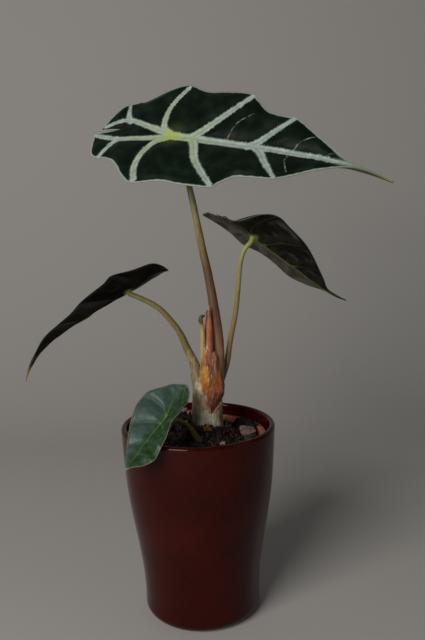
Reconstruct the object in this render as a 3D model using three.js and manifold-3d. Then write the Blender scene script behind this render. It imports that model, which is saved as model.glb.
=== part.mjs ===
// Potted alocasia: a glazed cover pot with a plastic grow pot inside it, potting mix, and a young
// arrow-leaved plant with one tall leaf, two hanging side leaves and a small leaf over the rim.
// Millimetres, +Z up. The origin is the middle of the pot's flat foot, on the surface it stands on.
// -Y is the front of the pot, where the small leaf hangs to the left.

import * as THREE from "three";
import { mergeVertices } from "three/addons/utils/BufferGeometryUtils.js";
import Module from "manifold-3d";

const wasm = await Module();
wasm.setup();

// ---- Driving dimensions -------------------------------------------------------------------------

const GAP = 0.3; // clearance between pieces that touch

const POT_HEIGHT = 165.9;
const POT_WALL = 5;
const RIM_ROUND = POT_WALL / 2;
const FOOT_ROUND = 9;
// The outside of the pot as [radius, height], from the foot's rounding up to the rim's.
const POT_SIDE = [[49.8, 9], [49.9, 21.2], [51.2, 40.3], [54.5, 64.4], [58.7, 89.5], [62, 113.8],
  [63.8, 138.1], [65, POT_HEIGHT - RIM_ROUND]];
const FLOOR_THICKNESS = 8;
const SHELF_HEIGHT = 48; // ring inside the pot that carries the grow pot
const SHELF_RADIUS = 41.5;

const GROW_TOP = 157;
const GROW_WALL = 1.4;
const GROW_FOOT_RADIUS = 45;
const GROW_NECK_RADIUS = 54.3; // outside of the wall just under the lip
const GROW_LIP_RADIUS = 57.6;
const GROW_LIP_HEIGHT = 6;
const GROW_FLOOR = 2;
const DRAIN_HOLES = 6;
const DRAIN_RADIUS = 3.5;
const DRAIN_CIRCLE = 26;

const SOIL_LEVEL = 151.5;
const SOIL_MOUND = 5; // rise of the mix against the stem
const SOIL_MOUND_REACH = 20;
const SOIL_BANK = 11; // extra height at the back left
const SOIL_BANK_PLACE = [-17, 40];
const SOIL_BANK_REACH = 16;

const STEM_X = 8; // the stem stands a little right of the pot's middle
const STEM_RADIUS = 12.5;
const STEM_TOP = 190.1;
const CORM_RADIUS = 15;
const CORM_LEVEL = 138.1;
const CORM_BOTTOM = 121.1;

const LEAF_THICKNESS = 1.2;
const LEAF_ROWS = 30;
const LEAF_HALF_COLUMNS = 3;
const ROW_FAN = 0.4;
const BEND_STEPS = 24;
const TIP_BEND_FROM = 0.51; // share of the blade's length where the tip's own bend sets in
const TIP_BEND_RUN = 0.34;
const STALK_KNEE = 4; // below the hub a stalk turns square to its blade

// Each leaf is laid out flat first. u runs along the midrib from the hub, where the stalk meets the
// blade, to the drip tip, and v runs across it. left and right list the margin from the inner end
// of a basal lobe round to the drip tip as [u, v, lift], where lift is the height above the midrib's
// own curved sheet. The bends are curvatures per mm: behind the hub, ahead of it, and the extra one
// that grows towards the tip. heading, slope and tilt are degrees.
const TALL_LEAF = {
  hub: [-13.6, -10.5, 402.1], heading: -25.9, slope: -10, tilt: 47.6,
  backBend: 0.0009, frontBend: 0.0002, tipBend: 0.0075, notch: -50,
  left: [[-71, 0, -4], [-59, 24, 0], [-45, 31, 1], [-38, 34, 1], [-20, 46, 4], [-6, 52, 5], [12, 47, 5],
    [31, 48, 6], [50, 48, 7], [59, 42, 6], [69, 34, 5], [81, 31, 5], [94, 30, 5], [107, 23, 3],
    [123, 13, 2], [144, 3, 0], [176, 0.7, 0]],
  right: [[-70, 7, 0], [-62, 29, -1], [-45, 32, 0], [-35, 36, 1], [-21, 48, 2], [-9, 54, 3], [12, 48, 3],
    [29, 48, 3], [53, 46, 3], [59, 41, 3], [68, 33, 3], [79, 31, 3], [95, 29, 3], [107, 23, 2],
    [125, 12, 2], [145, 3, 1], [176, 0.7, 0]],
};
const RIGHT_LEAF = {
  hub: [48.5, -6.5, 321.5], heading: 26.9, slope: -33.5, tilt: -9.6,
  backBend: 0.0035, frontBend: 0.0005, tipBend: -0.008, notch: -31,
  left: [[-40, 4, 1], [-42, 15, 1], [-27, 20, 2], [-14, 28, 5], [-2, 32, 6], [10, 29, 3], [30, 29, 6],
    [43, 21, 2], [58, 18, -1], [74, 10, -1], [88, 2, 0], [111, 0.6, 0]],
  right: [[-41, 4, -1], [-38, 14, -4], [-28, 19, -3], [-15, 29, 8], [-4, 32, 12], [11, 29, 12], [29, 29, 9],
    [45, 22, 8], [57, 18, 5], [73, 10, 3], [88, 2, 1], [111, 0.6, 0]],
};
const LEFT_LEAF = {
  hub: [-53.6, -4.4, 279.6], heading: 180.3, slope: -26, tilt: 12.6,
  backBend: -0.0036, frontBend: 0.0022, tipBend: 0.017, notch: -32,
  left: [[-37, 4, -1], [-36, 14, 1], [-30, 20, 7], [-15, 29, 9], [1, 34, 12], [11, 30, 10], [31, 30, 7],
    [46, 21, 5], [60, 18, 4], [76, 11, 4], [94, 2, 2], [117, 0.6, 0]],
  right: [[-37, 4, 1], [-36, 15, 3], [-29, 20, 4], [-14, 29, 6], [-3, 33, 6], [10, 30, 5], [33, 30, 5],
    [45, 21, 2], [61, 18, 3], [76, 11, 2], [93, 2, 0], [117, 0.6, 0]],
};
const LOW_LEAF = {
  hub: [-24.1, -41.1, 183.7], heading: 227.2, slope: -29.1, tilt: 14.6,
  backBend: 0.0096, frontBend: 0.0034, tipBend: 0, notch: -19,
  left: [[-30, 3, 11], [-24, 9, 5], [-17, 12, 2], [-8, 17, 3], [-1, 19, 3], [7, 17, 2], [19, 18, -2],
    [27, 13, -7], [36, 12, -9], [44, 7, -7], [51, 2, -1], [54, 0.6, 0]],
  right: [[-30, 2, 12], [-24, 9, 15], [-17, 12, 17], [-8, 17, 20], [-1, 19, 19], [7, 18, 18], [18, 17, 13],
    [27, 13, 10], [35, 11, 6], [44, 6, 3], [51, 2, 1], [54, 0.6, 0]],
};

// Stalks as [x, y, z, radius], from the stem up to just under each hub.
const TALL_STALK = [[13.9, -2, 190.5, 6.2], [17, -1.7, 204, 5.6], [18.6, -1.3, 216.7, 4.9],
  [18.4, -0.8, 237.1, 4.8], [15.8, -0.6, 264.2, 4.1], [11.9, -0.5, 290.9, 3.3], [7.2, 0.4, 314.3, 2.7],
  [2.7, 0.6, 340.3, 2.2], [-1.1, -0.4, 360.8, 2], [-6.5, -2.5, 382.2, 1.9]];
const RIGHT_STALK = [[16.2, 8.7, 190.5, 3.4], [20.5, 8.5, 200.5, 3], [25.8, 5.7, 216.7, 2.6],
  [28.6, 3.8, 234.3, 2.3], [33.1, -0.3, 256.9, 2.2], [35.8, -4.4, 279, 2.1], [38.1, -8.5, 302.2, 2],
  [41.6, -9.8, 312.3, 1.9]];
const LEFT_STALK = [[1.9, 1.5, 190.5, 5.8], [-0.6, -0.3, 206.1, 4.6], [-3.4, -3, 220, 3.8],
  [-6.8, -5, 230.4, 3.2], [-12.6, -6.7, 244.8, 2.7], [-21.2, -7.3, 257.5, 2.4], [-29.2, -6.7, 265.9, 2.3],
  [-38, -6.1, 272.7, 2.2], [-46, -5.6, 275.3, 2.1]];
const LOW_STALK = [[2.2, -19.5, 154.3, 3], [0.3, -19.5, 158.2, 2.9], [-3, -23.1, 164.5, 2.5],
  [-6.1, -26.4, 170, 2.1], [-9.1, -29.8, 174.5, 1.8], [-15.1, -35, 179.5, 1.6]];
const CUT_STALK = [[5.2, -8.3, 190.5, 2.1], [5.6, -9.6, 217.7, 2.2], [6, -10.6, 243.6, 2],
  [5.6, -11.1, 252.6, 1.6]];
const RED_SCALE = [[9.6, -9.6, 190.5, 1.9], [10.9, -10.3, 215.6, 2.6], [11, -11, 238.6, 2.6],
  [11.2, -11.2, 255.6, 1.5], [11.6, -11.2, 263.6, 0.6]];

// Scales are thin curved strips round the stem, between a lower and an upper arc. An arc has its
// middle, its inner radius, its first and last angle in degrees from +X and the height at each.
const DRY_SCALE = {
  thick: 0.8,
  lower: { x: 8, y: 0, radius: 13.2, from: -108, to: -20, heights: [186.6, 180.6] },
  upper: { x: 12.6, y: -3.6, radius: 10.6, from: -120, to: -16, heights: [220, 216] },
};
const PURPLE_SCALE = {
  thick: 0.6,
  lower: { x: 8, y: 0, radius: 12.9, from: -106, to: -22, heights: [178.6, 173.6] },
  upper: { x: 8, y: 0, radius: 12.9, from: -106, to: -22, heights: [186.1, 180.1] },
};
const LEFT_HUSK = {
  thick: 0.9,
  lower: { x: 8, y: 0, radius: 14.1, from: 168, to: 214, heights: [155.3, 155.3] },
  upper: { x: 8, y: 0, radius: 14.1, from: 168, to: 214, heights: [170.1, 165.1] },
};
const FRONT_HUSK = {
  thick: 0.9,
  lower: { x: 8, y: 0, radius: 14.1, from: 222, to: 296, heights: [156.1, 156.1] },
  upper: { x: 8, y: 0, radius: 14.1, from: 222, to: 296, heights: [167.1, 165.1] },
};

// Loose bits on the mix as [x, y, length, width, height, turn in degrees, tip in degrees].
const BARK_CHIPS = [[42.5, 6, 15, 10, 4, 18, 38], [24, 37, 12, 7, 4, -20, 6], [-26, 20, 10, 7, 4, 60, 8],
  [44.5, -7, 13, 6, 4, 48, 8], [-30, -8, 9, 6, 4, 15, 4]];
const GRIT = [[20, -22, 4.6], [-14, 46, 6], [-8, 44.5, 5.5], [-21, 41, 5], [-9, 27, 4.2], [27, 24, 4.5]];

// ---- Materials ----------------------------------------------------------------------------------

const finish = (color, roughness) => new THREE.MeshStandardMaterial({ color, roughness, metalness: 0 });
const GLAZE = finish(0x4a1512, 0.16);
const TERRACOTTA_PLASTIC = finish(0xa5583c, 0.45);
const MIX = finish(0x1c1714, 0.95);
const PALE_STEM = finish(0xb3a582, 0.5);
const TALL_BLADE = finish(0x15231a, 0.35);
const SMALL_BLADE = finish(0x3d5b4c, 0.4);
const DARK_BLADE = finish(0x2a2420, 0.5);
const GREEN_STALK = finish(0x8b8a4a, 0.45);
const BROWN_STALK = finish(0x7a4a35, 0.45);
const DRY_HUSK = finish(0xb0602a, 0.35);
const RED_HUSK = finish(0xb5705a, 0.45);
const PURPLE_HUSK = finish(0x7d4438, 0.45);
const BARK = finish(0x8f7268, 0.85);
const PUMICE = finish(0xb8aea2, 0.9);

// ---- Solids -------------------------------------------------------------------------------------

// A copy of a geometry with shared corners merged, so that it is one closed surface.
function closed(geometry) {
  const bare = geometry.clone();
  bare.deleteAttribute("normal");
  bare.deleteAttribute("uv");
  return mergeVertices(bare, 1e-4);
}

function toSolid(geometry) {
  const merged = closed(geometry);
  return new wasm.Manifold(new wasm.Mesh({
    numProp: 3,
    vertProperties: new Float32Array(merged.attributes.position.array),
    triVerts: new Uint32Array(merged.index.array),
  }));
}

function fromSolid(solid) {
  const mesh = solid.getMesh();
  const geometry = new THREE.BufferGeometry();
  geometry.setAttribute("position", new THREE.BufferAttribute(mesh.vertProperties, 3));
  geometry.setIndex(new THREE.BufferAttribute(mesh.triVerts, 1));
  geometry.computeVertexNormals();
  return geometry;
}

// Moves every corner of a closed geometry to where place(x, y, z) sends it.
function reshaped(geometry, place) {
  const shaped = closed(geometry);
  const corners = shaped.attributes.position;
  for (let i = 0; i < corners.count; i++) {
    const [x, y, z] = place(corners.getX(i), corners.getY(i), corners.getZ(i));
    corners.setXYZ(i, x, y, z);
  }
  shaped.computeVertexNormals();
  return shaped;
}

// Turns a profile of [radius, height] pairs, listed from the bottom of the axis upwards, about +Z.
function turned(profile, sides) {
  const points = profile.map(([radius, height]) => new THREE.Vector2(radius, height));
  return new THREE.LatheGeometry(points, sides).rotateX(Math.PI / 2);
}

function arc(centreRadius, centreHeight, round, fromDegrees, toDegrees, steps) {
  return Array.from({ length: steps + 1 }, (_, i) => {
    const angle = THREE.MathUtils.degToRad(fromDegrees + ((toDegrees - fromDegrees) * i) / steps);
    return [centreRadius + round * Math.cos(angle), centreHeight + round * Math.sin(angle)];
  });
}

function named(name, geometry, material) {
  const mesh = new THREE.Mesh(geometry, material);
  mesh.name = name;
  return mesh;
}

const potSidePoints = POT_SIDE.map(([radius, height]) => new THREE.Vector2(radius, height));
const POT_CURVE = new THREE.SplineCurve(potSidePoints);

// ---- Pots and potting mix -----------------------------------------------------------------------

function potGeometry() {
  const side = POT_CURVE.getPoints(14).map((point) => [point.x, point.y]);
  const inside = side.filter(([, height]) => height > SHELF_HEIGHT + 4).map(([r, h]) => [r - POT_WALL, h]);
  const shelfWall = side.find(([, height]) => height > SHELF_HEIGHT)[0] - POT_WALL - 0.6;
  const [footRadius] = POT_SIDE[0];
  const [rimRadius, rimStart] = POT_SIDE.at(-1);
  const outer = [
    [0, 0],
    ...arc(footRadius - FOOT_ROUND, FOOT_ROUND, FOOT_ROUND, -90, 0, 4),
    ...side.slice(1, -1),
    ...arc(rimRadius - RIM_ROUND, rimStart, RIM_ROUND, 0, 180, 6),
  ];
  const inner = [
    ...inside.slice(0, -1).reverse(),
    [shelfWall, SHELF_HEIGHT],
    [SHELF_RADIUS, SHELF_HEIGHT],
    [SHELF_RADIUS - 2, FLOOR_THICKNESS],
    [0, FLOOR_THICKNESS],
  ];
  return turned([...outer, ...inner], 44);
}

function growPotGeometry() {
  const foot = SHELF_HEIGHT + GAP;
  const lipFoot = GROW_TOP - GROW_LIP_HEIGHT;
  const shell = turned([
    [0, foot],
    [GROW_FOOT_RADIUS - 1.5, foot],
    [GROW_FOOT_RADIUS, foot + 1.5],
    [GROW_NECK_RADIUS, lipFoot],
    [GROW_LIP_RADIUS, lipFoot + 0.5],
    [GROW_LIP_RADIUS, GROW_TOP - 0.8],
    [GROW_LIP_RADIUS - 0.8, GROW_TOP],
    [GROW_NECK_RADIUS - GROW_WALL + 0.6, GROW_TOP],
    [GROW_NECK_RADIUS - GROW_WALL, GROW_TOP - 0.6],
    [GROW_FOOT_RADIUS - GROW_WALL, foot + GROW_FLOOR],
    [0, foot + GROW_FLOOR],
  ], 44);
  let pot = toSolid(shell);
  for (let i = 0; i < DRAIN_HOLES; i++) {
    const angle = (2 * Math.PI * i) / DRAIN_HOLES;
    const drill = new THREE.CylinderGeometry(DRAIN_RADIUS, DRAIN_RADIUS, 4 * GROW_FLOOR, 12);
    drill.rotateX(Math.PI / 2);
    drill.translate(DRAIN_CIRCLE * Math.cos(angle), DRAIN_CIRCLE * Math.sin(angle), foot);
    pot = pot.subtract(toSolid(drill));
  }
  return fromSolid(pot);
}

// The stem below its scales: ringed pale foot above the mix and the rounded corm inside it.
function stemProfile(extra) {
  return [
    [0, CORM_BOTTOM - extra],
    [9 + extra, CORM_BOTTOM + 2.5 - extra],
    [13.6 + extra, CORM_LEVEL - 7],
    [CORM_RADIUS + extra, CORM_LEVEL],
    [14.2 + extra, CORM_LEVEL + 12],
    [13.3 + extra, STEM_TOP - 30],
    [STEM_RADIUS + extra, STEM_TOP - 20],
    [STEM_RADIUS - 0.2 + extra, STEM_TOP - 3],
    [STEM_RADIUS - 1 + extra, STEM_TOP - 0.8 + extra],
    [STEM_RADIUS - 2.5 + extra, STEM_TOP + extra],
    [0, STEM_TOP + extra],
  ];
}

function stemGeometry(extra) {
  return turned(stemProfile(extra), 32).translate(STEM_X, 0, 0);
}

function bump(x, y, [centreX, centreY], reach) {
  return Math.exp(-((x - centreX) ** 2 + (y - centreY) ** 2) / reach ** 2);
}

function soilHeight(x, y) {
  const mound = SOIL_MOUND * bump(x, y, [STEM_X, 0], SOIL_MOUND_REACH);
  const bank = SOIL_BANK * bump(x, y, SOIL_BANK_PLACE, SOIL_BANK_REACH);
  return SOIL_LEVEL + mound + bank;
}

function soilGeometry() {
  const foot = SHELF_HEIGHT + GROW_FLOOR + 2 * GAP;
  const clear = GROW_WALL + GAP + 0.2;
  const slope = (GROW_NECK_RADIUS - GROW_FOOT_RADIUS) / (GROW_TOP - SHELF_HEIGHT);
  const topRadius = GROW_FOOT_RADIUS - clear + slope * (SOIL_LEVEL - foot);
  const ringShares = [1, 0.88, 0.76, 0.65, 0.54, 0.44, 0.34, 0.25];
  const topRings = ringShares.map((share) => [topRadius * share, SOIL_LEVEL]);
  const lump = turned([[0, foot], [GROW_FOOT_RADIUS - clear, foot], ...topRings, [0, SOIL_LEVEL]], 40);
  const mounded = reshaped(lump, (x, y, z) => [x, y, z > SOIL_LEVEL - 1 ? soilHeight(x, y) : z]);
  return fromSolid(toSolid(mounded).subtract(toSolid(stemGeometry(GAP))));
}

// ---- Leaves and stalks --------------------------------------------------------------------------

// One side of a blade: its margin seen flat, and how high the margin stands above the midrib's sheet.
function bladeSide(points) {
  return {
    margin: new THREE.SplineCurve(points.map(([u, v]) => new THREE.Vector2(u, v))),
    lift: new THREE.SplineCurve(points.map(([u, , lift]) => new THREE.Vector2(u, lift))),
  };
}

// Where the row at t starts on the midrib, from the notch between the lobes to the tip. Rows start
// closer together near the notch, so that they fan out into the lobes.
function midribStart(leaf, t) {
  const tip = leaf.left.at(-1)[0];
  const along = t * t + ROW_FAN * t * (1 - t) ** 2;
  return leaf.notch + (tip - leaf.notch) * along;
}

// Follows the curved midrib to u and returns its place and its angle in the leaf's upright plane.
function midribPlace(leaf, u) {
  const tip = leaf.left.at(-1)[0];
  const stride = u / BEND_STEPS;
  let angle = 0;
  let along = 0;
  let height = 0;
  for (let i = 0; i < BEND_STEPS; i++) {
    const here = (i + 0.5) * stride;
    const towardsTip = THREE.MathUtils.clamp((here / tip - TIP_BEND_FROM) / TIP_BEND_RUN, 0, 1);
    const bend = (here > 0 ? leaf.frontBend : leaf.backBend) + leaf.tipBend * towardsTip;
    angle += (bend * stride) / 2;
    along += stride * Math.cos(angle);
    height -= stride * Math.sin(angle);
    angle += (bend * stride) / 2;
  }
  return { along, height, angle };
}

function leafGeometry(leaf) {
  const right = bladeSide(leaf.right);
  const left = bladeSide(leaf.left);
  const slab = new THREE.BoxGeometry(1, 1, 1, LEAF_ROWS, 2 * LEAF_HALF_COLUMNS, 1);
  return reshaped(slab, (x, y, z) => {
    const t = x + 0.5;
    const across = 2 * y;
    const side = across > 0 ? left : right;
    const margin = side.margin.getPoint(t);
    const start = midribStart(leaf, t);
    const u = start + (margin.x - start) * Math.abs(across);
    const lift = side.lift.getPoint(t).y * Math.abs(across) + z * LEAF_THICKNESS;
    const spot = midribPlace(leaf, u);
    return [
      spot.along + Math.sin(spot.angle) * lift,
      margin.y * across,
      spot.height + Math.cos(spot.angle) * lift,
    ];
  });
}

// How a flat blade is turned: tilted about its midrib, sloped down and pointed to its heading.
function bladeTurn(leaf) {
  const { degToRad } = THREE.MathUtils;
  return new THREE.Euler(degToRad(leaf.tilt), degToRad(-leaf.slope), degToRad(leaf.heading), "ZYX");
}

function leafMesh(name, leaf, material) {
  const mesh = named(name, leafGeometry(leaf), material);
  mesh.position.set(...leaf.hub);
  mesh.rotation.copy(bladeTurn(leaf));
  return mesh;
}

// A round stalk of changing radius through points [x, y, z, radius], cut level at its foot.
function stalkGeometry(points, sides, steps) {
  const foot = points[0][2];
  const path = new THREE.CatmullRomCurve3(points.map(([x, y, z]) => new THREE.Vector3(x, y, z)));
  const radii = new THREE.SplineCurve(points.map((point, i) => new THREE.Vector2(i, point[3])));
  const frames = path.computeFrenetFrames(steps, false);
  return reshaped(new THREE.CylinderGeometry(1, 1, 1, sides, steps), (x, y, z) => {
    const step = Math.round((y + 0.5) * steps);
    const share = path.getUtoTmapping(step / steps);
    const radius = radii.getPoint(share).y;
    const centre = path.getPointAt(step / steps);
    const spot = centre
      .addScaledVector(frames.normals[step], x * radius)
      .addScaledVector(frames.binormals[step], -z * radius);
    return [spot.x, spot.y, step === 0 ? foot : spot.z];
  });
}

// A stalk that ends square against the underside of its leaf.
function leafStalkGeometry(points, leaf, sides, steps) {
  const normal = new THREE.Vector3(0, 0, 1).applyEuler(bladeTurn(leaf));
  const hub = new THREE.Vector3(...leaf.hub);
  const endRadius = points.at(-1)[3];
  const knee = hub.clone().addScaledVector(normal, -STALK_KNEE);
  const end = hub.clone().addScaledVector(normal, -LEAF_THICKNESS / 2 - 1.5 * GAP);
  const topPoints = [knee, end].map((point) => [...point.toArray(), endRadius]);
  return stalkGeometry([...points, ...topPoints], sides, steps);
}

// The point of a scale's arc at share of its length, pushed out by depth.
function arcPoint(arc, share, depth) {
  const angle = THREE.MathUtils.degToRad(THREE.MathUtils.lerp(arc.from, arc.to, share));
  const reach = arc.radius + depth;
  const height = THREE.MathUtils.lerp(arc.heights[0], arc.heights[1], share);
  return new THREE.Vector3(arc.x + reach * Math.cos(angle), arc.y + reach * Math.sin(angle), height);
}

// A thin scale wrapped round the stem. It hugs the lower arc first and swings to the upper one late.
function scaleGeometry(scale, columns, rows) {
  const slab = new THREE.BoxGeometry(1, 1, 1, columns, rows, 1);
  return reshaped(slab, (x, y, z) => {
    const depth = scale.thick * (z + 0.5);
    const low = arcPoint(scale.lower, x + 0.5, depth);
    const high = arcPoint(scale.upper, x + 0.5, depth);
    const climb = y + 0.5;
    const swing = climb * climb;
    return [
      THREE.MathUtils.lerp(low.x, high.x, swing),
      THREE.MathUtils.lerp(low.y, high.y, swing),
      THREE.MathUtils.lerp(low.z, high.z, climb),
    ];
  });
}

// ---- Loose bits ---------------------------------------------------------------------------------

function chipMesh(name, [x, y, length, width, height, turn, tip]) {
  const chip = reshaped(new THREE.SphereGeometry(0.5, 8, 5), (px, py, pz) => [
    px * length * (1 + 0.25 * Math.sin(5 * py)),
    py * width * (1 - 0.3 * px),
    pz * height,
  ]);
  const mesh = named(name, chip, BARK);
  const lean = THREE.MathUtils.degToRad(tip);
  const halfDepth = Math.hypot(height * Math.cos(lean), width * Math.sin(lean)) / 2;
  mesh.position.set(x, y, soilHeight(x, y) + halfDepth + 2 * GAP);
  mesh.rotation.set(lean, 0, THREE.MathUtils.degToRad(turn));
  return mesh;
}

function gritMesh(name, [x, y, size]) {
  const grain = reshaped(new THREE.IcosahedronGeometry(size / 2, 1), (px, py, pz) => [
    px * 1.15,
    py + 0.12 * pz,
    pz * 0.85,
  ]);
  const mesh = named(name, grain, PUMICE);
  mesh.position.set(x, y, soilHeight(x, y) + 0.425 * size + 1.5 * GAP);
  return mesh;
}

// ---- The assembly -------------------------------------------------------------------------------

const pottedPlant = new THREE.Group();

const potting = new THREE.Group();
potting.add(named("pot", potGeometry(), GLAZE));
potting.add(named("grow_pot", growPotGeometry(), TERRACOTTA_PLASTIC));
potting.add(named("soil", soilGeometry(), MIX));
BARK_CHIPS.forEach((chip, i) => potting.add(chipMesh(`bark_chip_${i + 1}`, chip)));
GRIT.forEach((grain, i) => potting.add(gritMesh(`pumice_${i + 1}`, grain)));

const stem = new THREE.Group();
stem.add(named("stem_base", stemGeometry(0), PALE_STEM));
stem.add(named("cut_stalk", stalkGeometry(CUT_STALK, 10, 8), GREEN_STALK));
stem.add(named("red_scale", stalkGeometry(RED_SCALE, 10, 10), RED_HUSK));
stem.add(named("dry_scale", scaleGeometry(DRY_SCALE, 12, 4), DRY_HUSK));
stem.add(named("purple_scale", scaleGeometry(PURPLE_SCALE, 8, 2), PURPLE_HUSK));
stem.add(named("left_husk", scaleGeometry(LEFT_HUSK, 6, 2), DRY_HUSK));
stem.add(named("front_husk", scaleGeometry(FRONT_HUSK, 8, 2), DRY_HUSK));

const foliage = new THREE.Group();
foliage.add(leafMesh("tall_leaf", TALL_LEAF, TALL_BLADE));
foliage.add(leafMesh("right_leaf", RIGHT_LEAF, DARK_BLADE));
foliage.add(leafMesh("left_leaf", LEFT_LEAF, DARK_BLADE));
foliage.add(leafMesh("low_leaf", LOW_LEAF, SMALL_BLADE));
foliage.add(named("tall_stalk", leafStalkGeometry(TALL_STALK, TALL_LEAF, 12, 24), BROWN_STALK));
foliage.add(named("right_stalk", leafStalkGeometry(RIGHT_STALK, RIGHT_LEAF, 10, 20), GREEN_STALK));
foliage.add(named("left_stalk", leafStalkGeometry(LEFT_STALK, LEFT_LEAF, 10, 20), GREEN_STALK));
foliage.add(named("low_stalk", leafStalkGeometry(LOW_STALK, LOW_LEAF, 8, 12), GREEN_STALK));

pottedPlant.add(potting, stem, foliage);

export default pottedPlant;
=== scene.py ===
"""A young potted alocasia: a glazed cover pot, a plastic grow pot, potting mix, stem, scales and leaves.

The scene is in metres. Places and sizes below are in millimetres and become metres in the meshes.
"""

import math

import bmesh
import bpy
import numpy as np
from mathutils import Euler, Matrix, Vector, noise


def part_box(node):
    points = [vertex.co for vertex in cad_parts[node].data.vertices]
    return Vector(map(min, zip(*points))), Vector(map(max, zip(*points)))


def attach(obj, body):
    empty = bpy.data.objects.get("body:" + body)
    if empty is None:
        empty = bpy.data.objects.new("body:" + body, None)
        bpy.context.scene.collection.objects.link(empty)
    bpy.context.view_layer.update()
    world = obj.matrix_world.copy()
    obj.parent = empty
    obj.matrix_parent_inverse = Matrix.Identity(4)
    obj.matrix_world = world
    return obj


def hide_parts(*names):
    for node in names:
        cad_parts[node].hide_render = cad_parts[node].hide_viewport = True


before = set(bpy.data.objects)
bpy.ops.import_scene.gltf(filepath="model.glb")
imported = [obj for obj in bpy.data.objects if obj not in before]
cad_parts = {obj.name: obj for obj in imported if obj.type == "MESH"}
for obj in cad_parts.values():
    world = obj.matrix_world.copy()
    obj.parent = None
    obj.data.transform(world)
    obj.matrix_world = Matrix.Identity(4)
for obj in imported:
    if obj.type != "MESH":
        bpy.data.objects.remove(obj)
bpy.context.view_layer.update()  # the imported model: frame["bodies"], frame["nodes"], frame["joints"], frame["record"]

bl_info = {
    "name": "Potted alocasia",
    "version": (1, 0, 0),
    "blender": (4, 5, 0),
    "location": "View3D > Sidebar > Alocasia",
    "description": "Builds a young alocasia in a glazed cover pot",
    "category": "Add Mesh",
}

MM = 0.001
BODY = "root"

# ---- Sizes of the pots and the mix, in millimetres ----------------------------------------------

POT_SIDE = [(49.8, 9), (49.9, 21.2), (51.2, 40.3), (54.5, 64.4), (58.7, 89.5), (62, 113.8), (63.8, 138.1),
            (65, 163.4)]
POT_WALL = 5
RIM_ROUND = POT_WALL / 2
FOOT_ROUND = 9
FLOOR_THICKNESS = 8
SHELF_HEIGHT = 48
SHELF_RADIUS = 41.5

GROW_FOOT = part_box("grow_pot")[0].z / MM
GROW_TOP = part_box("grow_pot")[1].z / MM
GROW_LIP_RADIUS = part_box("grow_pot")[1].x / MM
GROW_FOOT_RADIUS = 45
GROW_NECK_RADIUS = 54.3
GROW_LIP_HEIGHT = 6
GROW_WALL = 1.4
GROW_FLOOR = 2
GROW_SIDES = 127  # odd, like the drills' sides, so that their corners don't fall on one line
DRAIN_HOLES = 6
DRAIN_SIDES = 31
DRAIN_RADIUS = 3.5
DRAIN_CIRCLE = 26

SOIL_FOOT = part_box("soil")[0].z / MM
SOIL_LEVEL = 151.5
SOIL_MOUND = 5
SOIL_MOUND_REACH = 20
SOIL_BANK = 11
SOIL_BANK_PLACE = (-17, 40)
SOIL_BANK_REACH = 16
MIX_RADIUS = 51.6  # where the top of the mix meets the grow pot
CORM_CLEAR = 14.2  # radius of the pocket in the mix round the stem
COLLAR_RISE = 8.5  # crumbs heaped against the stem
CLOD_HEIGHT = 1.3
CLOD_SIZE = 9
CRUMB_HEIGHT = 0.9
CRUMB_SIZE = 2.6
MIX_SINK = 0.4  # how much lower the mix lies than in the part, because crumbs lie on it
MIX_HEAPS = [(2, -20, 3.5, 36), (17, -14, 4.2, 34)]  # x, y, height and the square of the reach
SPILL_RADIUS = 47  # where the mix that lies over the grow pot's lip begins
SPILL_WIDTH = 11
SPILL_START = 13  # degrees round from the right
SPILL_SPAN = 37
SPILL_SINK = 4  # how far below the lip its border lies
SPILL_RISE = 4.8  # its height above its border
SPILL_THICKNESS = 2
GRAIN_LUMPS = 900.0  # lumps per metre on a strewn grain

STEM_X = 8
STEM_SIDES = 120
SCAR_SPACING = 5.4  # between the ring-shaped leaf scars
SCAR_HEIGHT = 0.22
SCAR_WIDTH = 0.7
SCAR_ZONE = (154, 182)
STEM_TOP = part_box("stem_base")[1].z / MM
CORM_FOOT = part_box("stem_base")[0].z / MM

# ---- The leaves, in millimetres and degrees -----------------------------------------------------

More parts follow.
